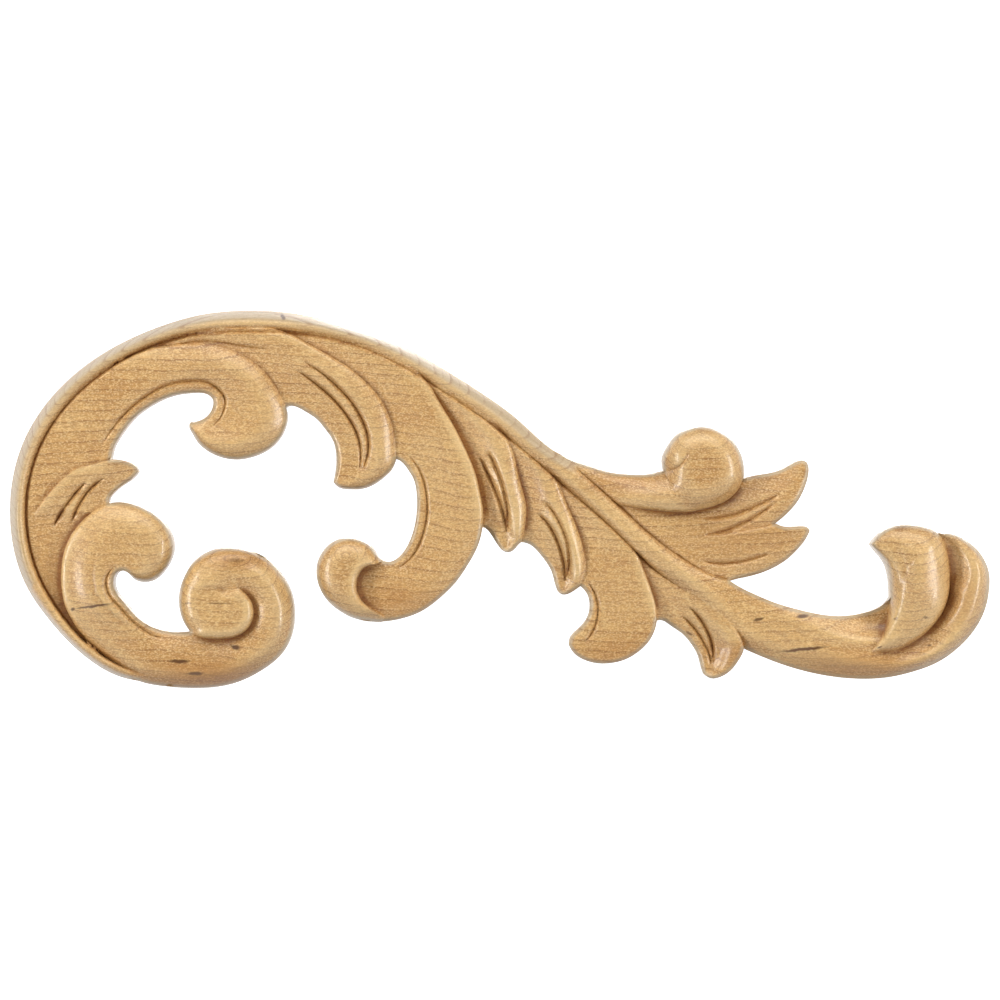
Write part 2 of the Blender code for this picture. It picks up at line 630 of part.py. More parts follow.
def cuts():
    rail_cut = [(150, 675.5), (119, 664.3), (87, 643), (58, 610), (38, 574), (27.5, 533), (26.5, 508),
                (30.6, 476), (50.7, 428), (86, 387), (150, 347.5), (190, 335.8), (249, 332), (308, 335),
                (360, 347), (410, 371), (448, 394.5), (505, 435), (563, 485), (620, 536), (655, 570),
                (690, 594)]
    stem_cut = [(566, 459), (586.7, 477.7), (611, 498.8), (643, 528.5), (677, 555), (706, 573.5),
                (724, 581)]
    curl = [(662, 472.5), (671, 470.5), (679, 466), (685, 459), (688, 451)]
    fold = [(178, 344.5), (200, 341.5), (222, 343), (245, 347), (272, 350)]
    beads = [
        [(102, 447), (108, 436.4), (124.4, 415.4), (150, 394.3), (166.3, 385.7), (182.5, 381.9),
         (196.6, 381.3), (209.6, 383.5), (219.4, 390), (225, 398), (225.4, 406.3), (217.2, 422.5),
         (210.7, 429)],
        [(408.4, 455.5), (416, 464.4), (422.4, 477.2), (427, 500), (425.6, 524.4), (421.2, 539.7),
         (413.5, 555), (405.9, 562.7), (396, 569)],
        [(587.4, 582.3), (593.2, 590.6), (597.4, 604), (596.4, 621.2), (591.9, 632.7), (584.2, 643)],
        [(119.3, 565), (112.2, 569.8), (108, 576.8), (107.3, 586.6), (110.8, 596.5), (119.3, 606.3),
         (129, 617.5), (140.3, 627.3), (151.5, 634.3), (164, 639)],
    ]
    veins = [
        [(303, 361), (321, 372.7), (338.9, 388), (351.6, 402), (361.8, 418.6), (367.6, 434),
         (368.9, 446.7), (363, 471)],
        [(296.8, 370), (321, 388), (333.8, 399.5), (346.5, 414.8), (355.5, 430), (360, 444), (360, 471)],
        [(479.4, 457.6), (488, 474.8), (497.6, 495.8), (504.3, 516.9), (507, 533)],
        [(488, 450.9), (495.7, 467), (502.4, 484.4), (507, 505.4), (508, 530)],
        [(536.9, 513), (546.6, 522), (554.2, 534), (559.6, 547), (563.4, 560), (565, 582)],
        [(543.4, 500.5), (552, 510.2), (559.6, 523.2), (565, 535.2), (568.8, 549.3), (569.4, 563.4),
         (566.5, 578)],
        [(681.2, 615.5), (692.7, 626.3), (701.6, 639), (708, 651.8), (711.3, 667)],
        [(688.8, 606.6), (699, 617.4), (706.7, 630.2), (711.8, 644.2), (713, 662)],
        [(87, 481.9), (76.5, 492.9), (67, 505.3), (59.3, 516.8), (53, 528)],
        [(105.2, 478.5), (93.8, 486.2), (84.2, 497.7), (76.5, 511), (71.7, 523)],
    ]
    hollows = [
        [(779, 494), (765, 502), (750, 508.5), (735, 514), (718, 517.5), (700, 518)],
        [(775, 503), (763, 511.5), (751, 519), (738, 525.5), (724, 531), (704, 535)],
        [(770, 553), (754, 558.5), (738, 562), (720, 563.5), (700, 561)],
    ]
    return (
        [Cut(rail_cut, RAIL_CUT_WIDTH, RAIL_CUT_DEPTH, ends=0.06)]
        + [Cut(line, FINE_WIDTH, FINE_DEPTH) for line in (stem_cut, curl, fold)]
        + [Cut(line, BEAD_WIDTH, BEAD_DEPTH) for line in beads]
        + [Cut(line, VEIN_WIDTH, VEIN_DEPTH) for line in veins]
        + [Cut(line, HOLLOW_WIDTH, HOLLOW_DEPTH) for line in hollows]
    )


def soft_max(a, b, blend):
    """The higher of two heights, with a small hollow fillet where they cross."""
    return np.maximum(a, b) + np.maximum(blend - np.abs(a - b), 0) ** 2 / (4 * blend)


class Carving:
    """The whole front: the highest family shows at each place, less the deepest cut there."""

    def __init__(self):
        self.families = leaves()
        self.forms = [form for family in self.families for form in family]
        self.cuts = cuts()

    def read(self, points, least):
        """Height of the front and which family shows. A form counts from `least` inside its outline, and
        the leaf that carries a boss also just outside its own, so that the two meet without a slit."""
        top = np.full(len(points), NOWHERE)
        owner = np.full(len(points), -1)
        for number, family in enumerate(self.families):
            height = np.full(len(points), NOWHERE)
            reached = [reach_inside(points, form.outline, max(abs(least), WALL_RUN)) for form in family]
            shows = np.zeros(len(points), bool)
            for near, depth in reached:
                shows[near[depth >= least]] = True
            for form, (near, depth) in zip(family, reached):
                limit = least if isinstance(form, Dome) else min(least, -WALL_RUN)
                counts = shows[near] & (depth >= limit)
                near, depth = near[counts], np.maximum(depth[counts], 0)
                if len(near) == 0:
                    continue
                found = form.height(points[near], depth)
                both = height[near] > 0
                height[near] = np.where(both, soft_max(found, height[near], BALL_FILLET), found)
            higher = height > top
            top[higher] = height[higher]
            owner[higher] = number
        here = np.nonzero(owner >= 0)[0]
        deepest = np.zeros(len(here))
        for cut in self.cuts:
            deepest = np.maximum(deepest, cut.depth_at(points[here]))
        top[here] -= deepest
        return top, owner

    def covers(self, points):
        result = np.zeros(len(points), bool)
        for form in self.forms:
            left = np.nonzero(~result)[0]
            result[left] = inside(points[left], form.outline)
        return result


def reach_inside(points, outline, margin):
    """The points in or near an outline, by number, and how deep inside it each one is."""
    low, high = outline.min(0) - margin, outline.max(0) + margin
    near = np.nonzero(((points >= low) & (points <= high)).all(1))[0]
    depth, _ = nearest(points[near], np.vstack([outline, outline[:1]]))
    return near, np.where(inside(points[near], outline), depth, -depth)


def triangulated(points, lines, keep):
    """A net over the points and lines, and those of its triangles whose middles `keep` takes."""
    edges = [(a, b) for line in lines for a, b in zip(line[:-1], line[1:])]
    net = delaunay_2d_cdt([Vector(p) for p in points], edges, [], 0, MERGE)
    flat = np.array([tuple(v) for v in net[0]])
    faces = np.array(net[2])
    middles = flat[faces].mean(1)
    a, b, c = flat[faces[:, 0]], flat[faces[:, 1]], flat[faces[:, 2]]
    area = (b[:, 0] - a[:, 0]) * (c[:, 1] - a[:, 1]) - (b[:, 1] - a[:, 1]) * (c[:, 0] - a[:, 0])
    faces[area < 0] = faces[area < 0][:, ::-1]
    faces = faces[(np.abs(area) > 1e-12) & keep(middles)]
    return flat, faces


def rim_loops(flat, faces):
    """The closed loops of edges that only one triangle uses, with the surface on their left. Where two
    loops touch at a point, each turns back along its own side."""
    sides = {(f[i], f[(i + 1) % 3]) for f in faces.tolist() for i in range(3)}
    after = {}
    for a, b in sorted(sides):
        if (b, a) not in sides:
            after.setdefault(a, []).append(b)
    loops = []
    while after:
        start = here = min(after)
        loop = []
        while not loop or here != start:
            choices = after[here]
            if loop and len(choices) > 1:
                back = math.atan2(*(flat[loop[-1]] - flat[here])[::-1])
                turns = [(back - math.atan2(*(flat[k] - flat[here])[::-1])) % math.tau for k in choices]
                pick = int(np.argmin(turns))
            else:
                pick = 0
            loop.append(here)
            ahead = choices.pop(pick)
            if not choices:
                del after[here]
            here = ahead
        loops.append(loop)
    return loops


def silhouettes(carving):
    """The outer outline of all the forms together, as closed lines."""
    points, lines = [], []
    for form in carving.forms:
        first = len(points)
        count = len(form.outline)
        points.extend(form.outline)
        lines.append([first + i % count for i in range(count + 1)])
    flat, faces = triangulated(points, lines, carving.covers)
    loops = [flat[loop] for loop in rim_loops(flat, faces)]
    return [loop for loop in loops if np.linalg.norm(np.ptp(loop, axis=0)) > 8 * EDGE_ROLL]


def runs(flags, closed):
    """Stretches of neighbouring samples that are flagged, as lists of their numbers."""
    count = len(flags)
    if flags.all():
        return [list(range(count)) + ([0] if closed else [])]
    start = int(np.argmin(flags)) if closed else 0
    found, run = [], []
    for i in range(count):
        k = (start + i) % count
        if flags[k]:
            run.append(k)
        elif run:
            found.append(run)
            run = []
    return found + ([run] if run else [])


def offset_line(line, outline, distance):
    """A line moved to the inside of an outline, less the samples that come too near another part of it."""
    way = np.gradient(line, axis=0)
    way /= np.linalg.norm(way, axis=1)[:, None]
    side = np.stack([-way[:, 1], way[:, 0]], 1)
    if not inside(line + side * MERGE * 3, outline).mean() > 0.5:
        side = -side
    moved = line + side * distance
    _, depth = reach_inside(moved, outline, 1.0)
    return [moved[run] for run in runs(depth > 0.96 * distance, False) if len(run) > 1]


def step_lines(carving, spacing):
    """Where one leaf stands over another: the foot of each step, and the rows behind its arris."""
    found = []
    for number, family in enumerate(carving.families):
        for form in family:
            closed = np.vstack([form.outline, form.outline[:1]])
            line = spaced(closed, spacing)[:-1]
            way = np.roll(line, -1, 0) - np.roll(line, 1, 0)
            way /= np.linalg.norm(way, axis=1)[:, None]
            side = np.stack([-way[:, 1], way[:, 0]], 1)
            if inside(line + side * MERGE * 3, form.outline).mean() < 0.5:
                side = -side
            high, owner = carving.read(line + side * STEP_LOOK, 0)
            low, _ = carving.read(line - side * STEP_LOOK / 2, 0)
            shows = (owner == number) & (low > 0) & (high - low > STEP_LEAST)
            for run in runs(shows, True):
                if len(run) < 3:
                    continue
                foot = line[run]
                found.append(foot)
                found.extend(offset_line(foot, form.outline, WALL_RUN))
                found.extend(offset_line(foot, form.outline, EDGE_ROLL))
    return found


def cut_lines(carving, spacing):
    """The bottom of each cut and its two shoulders."""
    found = []
    for cut in carving.cuts:
        line = spaced(cut.line, spacing)
        way = np.gradient(line, axis=0)
        way /= np.linalg.norm(way, axis=1)[:, None]
        side = np.stack([-way[:, 1], way[:, 0]], 1) * cut.width / 2
        found.extend([line, line + side, line - side])
    return found


def thinned(lines, spacing, taken):
    """The lines without the samples that crowd those already taken. Earlier lines have the first right."""
    kept = []
    cells = {}
    for p in taken:
        cells.setdefault(tuple((p // spacing).astype(int)), []).append(p)
    for line in lines:
        free = np.ones(len(line), bool)
        for i, p in enumerate(line):
            column, row = (p // spacing).astype(int)
            around = [
                q
                for dc in (-1, 0, 1)
                for dr in (-1, 0, 1)
                for q in cells.get((column + dc, row + dr), ())
            ]
            free[i] = all(np.hypot(*(p - q)) >= spacing for q in around)
        for run in runs(free, False):
            kept.append(line[run])
        for p in line[free]:
            cells.setdefault(tuple((p // spacing).astype(int)), []).append(p)
    return kept


def inside_any(points, outlines):
    return np.array([inside(points, outline) for outline in outlines]).any(0)


def behind(rims, distance):
    """Rows just inside the silhouette, where its arris is rounded."""
    rows = []
    for rim in rims:
        way = np.roll(rim, -1, 0) - np.roll(rim, 1, 0)
        way /= np.linalg.norm(way, axis=1)[:, None]
        moved = rim + np.stack([-way[:, 1], way[:, 0]], 1) * distance
        _, depth = reach_inside(moved, rim, 1.0)
        rows.extend(moved[run] for run in runs(depth > 0.9 * distance, True))
    return rows


def even_field(rims, placed, spacing):
    """Points in rows like a honeycomb, clear of the points already placed."""
    low, high = np.vstack(rims).min(0), np.vstack(rims).max(0)
    rows = []
    for i, z in enumerate(np.arange(low[1], high[1], spacing * math.sqrt(0.75))):
        x = np.arange(low[0] + (i % 2) * spacing / 2, high[0], spacing)
        rows.append(np.stack([x, np.full(len(x), z)], 1))
    field = np.vstack(rows)
    field = field[inside_any(field, rims)]
    tree = kdtree.KDTree(len(placed))
    for number, p in enumerate(placed):
        tree.insert((p[0], p[1], 0), number)
    tree.balance()
    gap = np.array([tree.find((x, z, 0))[2] for x, z in field])
    return field[gap > spacing * 0.62]


def front_net(carving, line_spacing, field_spacing, rows):
    """The net of the front: silhouettes, steps, cuts and an even field between them."""
    rims = [spaced(np.vstack([loop, loop[:1]]), line_spacing)[:-1] for loop in silhouettes(carving)]
    lines = step_lines(carving, line_spacing) + cut_lines(carving, line_spacing)
    for distance in rows:
        lines += behind(rims, distance)
    crowd = min(WALL_RUN, line_spacing) * 0.8
    points, chains = [], []
    for rim in rims:
        first = len(points)
        points.extend(rim)
        chains.append([first + i % len(rim) for i in range(len(rim) + 1)])
    for line in thinned(lines, crowd, np.vstack(rims)):
        for run in runs(inside_any(line, rims), False):
            first = len(points)
            points.extend(line[run])
            chains.append(list(range(first, len(points))))
    points.extend(even_field(rims, np.array(points), field_spacing))
    return triangulated(points, chains, lambda middles: inside_any(middles, rims))


def rim_heights(height, loops, reach):
    """The silhouette's heights, each the middle one of its neighbours', so that no single corner drops."""
    for loop in loops:
        around = [np.roll(height[loop], k) for k in range(-reach, reach + 1)]
        height[loop] = np.median(around, axis=0)


def solid(carving, line_spacing, field_spacing, rows, reach):
    """The closed solid: carved front, straight sides and flat back."""
    flat, faces = front_net(carving, line_spacing, field_spacing, rows)
    used = np.unique(faces)
    number = np.full(len(flat), -1)
    number[used] = np.arange(len(used))
    flat, faces = flat[used], number[faces]
    loops = rim_loops(flat, faces)
    rim = np.array(sorted({i for loop in loops for i in loop}))
    height, _ = carving.read(flat, WALL_RUN / 2)
    height[rim], _ = carving.read(flat[rim], -WALL_RUN)
    lost = height <= 0
    height[lost] = carving.read(flat[lost], -4 * WALL_RUN)[0]
    rim_heights(height, loops, reach)
    front = np.stack([flat[:, 0], -height, flat[:, 1]], 1)
    edge = [i for loop in loops for i in loop]
    place = {i: len(front) + k for k, i in enumerate(edge)}
    back = np.stack([flat[edge, 0], np.zeros(len(edge)), flat[edge, 1]], 1)
    sides = [(b, a, place[a], place[b]) for loop in loops for a, b in zip(loop, loop[1:] + loop[:1])]
    chains, first = [], 0
    for loop in loops:
        chains.append([first + i % len(loop) for i in range(len(loop) + 1)])
        first += len(loop)
    rims = [flat[loop] for loop in loops]
    _, back_faces = triangulated(flat[edge], chains, lambda middles: inside_any(middles, rims))
    return np.vstack([front, back]), faces, sides, back_faces[:, ::-1] + len(front)


def maple():
    material = bpy.data.materials.new("maple")
    material.diffuse_color = MAPLE
    material.use_nodes = True
    shader = material.node_tree.nodes["Principled BSDF"]
    shader.inputs["Base Color"].default_value = MAPLE
    shader.inputs["Roughness"].default_value = SATIN
    shader.inputs["Metallic"].default_value = 0.0
    return material


def carve(line_spacing, field_spacing):
    """The scroll as one object."""
    corners, front, sides, back = solid(Carving(), line_spacing, field_spacing, (EDGE_ROLL,), 1)
    mesh = bpy.data.meshes.new(NODE)
    mesh.from_pydata(corners.tolist(), [], front.tolist() + sides + back.tolist())
    mesh.polygons.foreach_set("use_smooth", [True] * len(mesh.polygons))
    mesh.set_sharp_from_angle(angle=SHARP)
    mesh.materials.append(maple())
    mesh.update()
    scroll = bpy.data.objects.new(NODE, mesh)
    bpy.context.scene.collection.objects.link(scroll)
    return scroll


def build():
    for old in list(bpy.data.objects):
        bpy.data.objects.remove(old)
    carve(FACET, FIELD)


if __name__ == "__main__":
    build()
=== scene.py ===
# %% [markdown]
# # A carved maple acanthus applique
#
# The real thing is one flat piece of maple, about a foot long, that a carver has cut in relief. A long rail
# sweeps round from the lower left, over the top and down to the right. Leaves grow from its underside, each
# lapping the next, and three ends curl up into balls and volutes.
#
# A carver draws the plan on a squared sheet, glues it to the board, saws the outline, and then sinks each
# leaf to its own level. This script does the same. Every leaf is the space between two flowing edges, with a
# few levels across it. Where leaves overlap, the highest one shows, and its edge stands as a crisp step.

import math

import bpy
import numpy as np
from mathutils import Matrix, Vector, kdtree
from mathutils.geometry import delaunay_2d_cdt


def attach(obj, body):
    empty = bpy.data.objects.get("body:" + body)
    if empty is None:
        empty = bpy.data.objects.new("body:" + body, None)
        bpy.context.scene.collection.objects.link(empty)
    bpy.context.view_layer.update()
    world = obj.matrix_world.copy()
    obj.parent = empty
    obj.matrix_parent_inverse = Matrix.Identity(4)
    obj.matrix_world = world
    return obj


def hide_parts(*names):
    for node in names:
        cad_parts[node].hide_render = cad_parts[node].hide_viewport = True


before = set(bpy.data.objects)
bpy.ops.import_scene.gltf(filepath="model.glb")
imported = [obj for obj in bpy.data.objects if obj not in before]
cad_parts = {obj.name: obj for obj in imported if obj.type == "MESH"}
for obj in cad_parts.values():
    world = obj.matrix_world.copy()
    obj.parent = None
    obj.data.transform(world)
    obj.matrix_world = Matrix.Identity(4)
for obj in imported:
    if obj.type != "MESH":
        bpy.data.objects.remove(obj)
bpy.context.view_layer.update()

# %% [markdown]
# ## The squared sheet
#
# The plan is drawn in squares: columns run right, rows run down, and square (500, 500) is the middle of the
# back. One square is a 979th of the length, and one level is an 18th of the thickness. The sizes are given
# here once, and everything below is worked out from them.

# %%
LENGTH = 0.305  # left edge of the scroll to the right edge of the end volute
THICKNESS = 0.018  # flat back to the top of the ball
WALL_RUN = 0.00035  # how far a step leans over its own height
EDGE_ROLL = 0.0016  # width of the rounded arris along a leaf's edge
EDGE_DROP = 0.0012  # how much lower that arris ends at the leaf's outline
BALL_FILLET = 0.0015  # hollow where a ball melts into its leaf
RAIL_CUT_WIDTH = 0.0015
RAIL_CUT_DEPTH = 0.0009
VEIN_WIDTH = 0.0019
VEIN_DEPTH = 0.0013
BEAD_WIDTH = 0.0017
BEAD_DEPTH = 0.0011
HOLLOW_WIDTH = 0.0024
HOLLOW_DEPTH = 0.0011
FINE_WIDTH = 0.0015
FINE_DEPTH = 0.0007
SHEET_LENGTH = 979
SHEET_MIDDLE = 500
SHEET_THICKNESS = 18
SQUARE = LENGTH / SHEET_LENGTH
LEVEL = THICKNESS / SHEET_THICKNESS
print(f"one square {SQUARE * 1000:.3f} mm, one level {LEVEL * 1000:.1f} mm")

# %% [markdown]
# ## Flowing lines
#
# A carver marks a curve with a bent batten that passes through a few pins. A natural cubic spline is that
# same batten in numbers. Blender's own Bezier curves would also do, but here the line is needed as plain
# numbers, to measure how far any point of the wood lies from it.

# %%
BATCH = 3000
CORNER_COSINE = math.cos(math.radians(24))
MERGE = 0.00004
NOWHERE = -1.0


def on_sheet(points):
    """Columns and rows of the squared sheet as plan positions in metres."""
    grid = np.array(points, float).reshape(-1, 2)
    return np.stack([grid[:, 0] - SHEET_MIDDLE, SHEET_MIDDLE - grid[:, 1]], 1) * SQUARE


def flowing(points):
    """A smooth curve through the points, finely sampled: a natural cubic spline along the chords."""
    count = len(points)
    if count < 3:
        return np.array(points, float)
    reach = np.concatenate([[0], np.cumsum(np.linalg.norm(np.diff(points, axis=0), axis=1))])
    gap = np.diff(reach)
    matrix = np.eye(count)
    slopes = np.zeros((count, 2))
    for i in range(1, count - 1):
        matrix[i, i - 1 : i + 2] = gap[i - 1], 2 * (gap[i - 1] + gap[i]), gap[i]
        rise = np.diff(points[i - 1 : i + 2], axis=0) / gap[i - 1 : i + 1, None]
        slopes[i] = 6 * (rise[1] - rise[0])
    bend = np.linalg.solve(matrix, slopes)
    curve = []
    for i in range(count - 1):
        share = np.linspace(0, 1, 17)[:-1, None] * gap[i]
        a, b = gap[i] - share, share
        curve.append(
            (bend[i] * a**3 + bend[i + 1] * b**3) / (6 * gap[i])
            + (points[i] / gap[i] - bend[i] * gap[i] / 6) * a
            + (points[i + 1] / gap[i] - bend[i + 1] * gap[i] / 6) * b
        )
    return np.vstack(curve + [points[-1:]])


def edge_line(*stretches):
    """One edge of a leaf: smooth stretches that meet at corners."""
    lines = [flowing(on_sheet(stretch)) for stretch in stretches]
    return np.vstack([lines[0]] + [line[1:] for line in lines[1:]])


def arc_shares(line):
    steps = np.linalg.norm(np.diff(line, axis=0), axis=1)
    return np.concatenate([[0], np.cumsum(steps)])


def spaced(line, spacing):
    """The line sampled anew at an even spacing, with its sharp corners kept."""
    way = np.diff(line, axis=0)
    way /= np.linalg.norm(way, axis=1)[:, None]
    turn = np.einsum("ij,ij->i", way[:-1], way[1:])
    stops = [0, *(np.nonzero(turn < CORNER_COSINE)[0] + 1), len(line) - 1]
    reach = arc_shares(line)
    places = []
    for start, end in zip(stops[:-1], stops[1:]):
        pieces = max(1, round((reach[end] - reach[start]) / spacing))
        places.append(np.linspace(reach[start], reach[end], pieces + 1)[:-1])
    places = np.concatenate(places + [[reach[-1]]])
    return np.stack([np.interp(places, reach, line[:, axis]) for axis in (0, 1)], 1)


print("a batten through 3 pins has", len(flowing(on_sheet([(0, 0), (50, 20), (100, 0)]))), "samples")

# %% [markdown]
# ## Where a point lies
#
# Three questions are asked of every point of the surface: how far is it from a line, is it inside an outline,
# and what does a smooth curve through a few levels say there? numpy answers them for thousands of points at
# once.

# %%
def nearest(points, line):
    """For each point, its distance to the line and the share of the line's length at the nearest place."""
    start, way = line[:-1], np.diff(line, axis=0)
    long2 = np.maximum((way**2).sum(1), 1e-18)
    reach = arc_shares(line)
    found, share = np.empty(len(points)), np.empty(len(points))
    for i in range(0, len(points), BATCH):
        offset = points[i : i + BATCH, None] - start
        along = np.clip((offset * way).sum(2) / long2, 0, 1)
        distance2 = ((offset - along[..., None] * way) ** 2).sum(2)
        best = distance2.argmin(1)
        rows = np.arange(len(best))
        found[i : i + BATCH] = np.sqrt(distance2[rows, best])
        share[i : i + BATCH] = reach[best] + along[rows, best] * np.sqrt(long2[best])
    return found, share / reach[-1]


def squarely(way):
    """Unit steps square to each direction, to its left."""
    way = way / np.linalg.norm(way, axis=1)[:, None]
    return np.stack([-way[:, 1], way[:, 0]], 1)


def inside(points, polygon):
    """Whether each point lies in the closed polygon, by counting the sides to its right."""
    a, b = polygon, np.roll(polygon, -1, 0)
    result = np.zeros(len(points), bool)
    for i in range(0, len(points), BATCH):
        x, z = points[i : i + BATCH, :1], points[i : i + BATCH, 1:]
        spans = (a[:, 1] > z) != (b[:, 1] > z)
        rise = np.where(b[:, 1] == a[:, 1], 1e-12, b[:, 1] - a[:, 1])
        crossing = a[:, 0] + (z - a[:, 1]) * (b[:, 0] - a[:, 0]) / rise
        result[i : i + BATCH] = (spans & (x < crossing)).sum(1) % 2 == 1
    return result


def reach_inside(points, outline, margin):
    """The points in or near an outline, by number, and how deep inside it each one is."""
    low, high = outline.min(0) - margin, outline.max(0) + margin
    near = np.nonzero(((points >= low) & (points <= high)).all(1))[0]
    depth, _ = nearest(points[near], np.vstack([outline, outline[:1]]))
    return near, np.where(inside(points[near], outline), depth, -depth)


def through(nodes, values, at):
    """A smooth curve through values at the nodes, read at each place."""
    nodes = np.array(nodes, float)
    values = np.array(values, float)
    if values.ndim == 1:
        values = values[:, None].repeat(len(at), 1)
    rise = np.diff(values, axis=0) / np.diff(nodes)[:, None]
    slope = np.vstack([rise[:1], (rise[:-1] + rise[1:]) / 2, rise[-1:]])
    span = np.clip(np.searchsorted(nodes, at, side="right") - 1, 0, len(nodes) - 2)
    wide = nodes[span + 1] - nodes[span]
    u = np.clip((at - nodes[span]) / wide, 0, 1)
    column = np.arange(len(at))
    low, high = values[span, column], values[span + 1, column]
    low_slope, high_slope = slope[span, column] * wide, slope[span + 1, column] * wide
    return (
        low * (1 + 2 * u) * (1 - u) ** 2
        + low_slope * u * (1 - u) ** 2
        + high * u**2 * (3 - 2 * u)
        + high_slope * u**2 * (u - 1)
    )


away, _ = nearest(on_sheet([(5, 5)]), on_sheet([(0, 0), (9, 0)]))
print("a point 5 squares from a line is", round(float(away[0] / SQUARE), 1), "squares away")

# %% [markdown]
# ## A leaf, a boss and a gouge cut
#
# Three kinds of form make the whole carving. A Leaf has levels across it at a few places along it. A Dome is
# a boss: the balls and the eye of the volute. A Cut is one run of a V-gouge, deepest in the middle of its
# way. Sculpting by hand would also work, but then no size could be changed afterwards.

# %%
def rolled(depth, amount):
    """How far the surface is rounded down near an outline."""
    share = np.clip(1 - depth / (EDGE_ROLL * max(amount, 1e-6)), 0, 1)
    return EDGE_DROP * amount * (1 - np.sqrt(1 - share**2))


class Leaf:
    """The space between two edges that run from root to tip. Levels are given across it, from the first edge
    to the second, at a few shares of its length."""

    def __init__(self, name, first, second, levels, roll=1.0):
        self.name = name
        self.first = edge_line(*first)
        self.second = edge_line(*second)
        self.outline = np.vstack([self.first, self.second[-2:0:-1]])
        self.levels = levels
        self.roll = roll

    def height(self, points, depth):
        away, along = nearest(points, self.first)
        back, along_back = nearest(points, self.second)
        across = away / np.maximum(away + back, 1e-9)
        share = (along * back**2 + along_back * away**2) / np.maximum(away**2 + back**2, 1e-18)
        stations = sorted(self.levels)
        rows = [
            through(np.linspace(0, 1, len(self.levels[s])), self.levels[s], across)
            for s in stations
        ]
        top = through(stations, rows, share) if len(rows) > 1 else rows[0]
        return top * LEVEL - rolled(depth, self.roll)


class Dome:
    """A boss. It falls to its rim in a wide quarter ellipse. Its lap, the edge that stands over its
    neighbour, is rounded over a narrow width only and fades out towards the lap's free end. Between the
    lap's end and the rim's start the boss sinks into the form that carries it."""

    def __init__(self, name, rim, lap, top, edge, widths, fade=0.0, sink=0.0):
        self.name = name
        self.rim = flowing(on_sheet(rim))
        self.lap = flowing(on_sheet([rim[-1]] + lap)) if lap else self.rim[-1:]
        self.outline = np.vstack([self.rim, self.lap[1:]])
        if np.linalg.norm(self.outline[0] - self.outline[-1]) < SQUARE:
            self.outline = self.outline[:-1]
        self.top = top
        self.edge = edge
        self.widths = widths
        self.fade = fade
        self.sink = sink

    def height(self, points, depth):
        wide, narrow = self.widths[0] * SQUARE, self.widths[1] * SQUARE
        share = np.clip(1 - nearest(points, self.rim)[0] / wide, 0, 1)
        fall = (self.top - self.edge) * (1 - np.sqrt(1 - share**2))
        if len(self.lap) > 1:
            away, along = nearest(points, self.lap)
            share = np.clip(1 - away / narrow, 0, 1)
            lap_fall = 0.45 * (self.top - self.edge) * (1 - np.sqrt(1 - share**2))
            if self.fade:
                lap_fall = lap_fall * np.clip((1 - along) / self.fade, 0, 1)
            fall = np.maximum(fall, lap_fall)
        if self.sink:
            mouth, _ = nearest(points, self.outline[[-1, 0]])
            fall = fall + self.sink * np.clip(1 - mouth / wide, 0, 1) ** 2
        return (self.top - fall) * LEVEL


class Cut:
    """A V-shaped gouge cut along a line. It runs out to nothing at its ends."""

    def __init__(self, points, width, depth, ends=0.25):
        self.line = flowing(on_sheet(points))
        self.width = width
        self.depth = depth
        self.ends = ends

    def depth_at(self, points):
        away, along = nearest(points, self.line)
        fade = np.clip(np.minimum(along, 1 - along) / self.ends, 0, 1)
        wall = np.clip(1 - away / (self.width / 2 * (0.35 + 0.65 * fade)), 0, 1)
        return self.depth * wall * np.sqrt(fade * (2 - fade))


print("a 2 mm deep arris drops", round(float(rolled(np.zeros(1), 1.0)[0]) * 1000, 2), "mm at its edge")

# %% [markdown]
# ## The rail
#
# The rail is the backbone of the scroll. Its outside is planed to a bevel, its inside ends in a long V-cut.
# At the right it swings round behind the end volute. Its levels are judged from how the light falls on it.

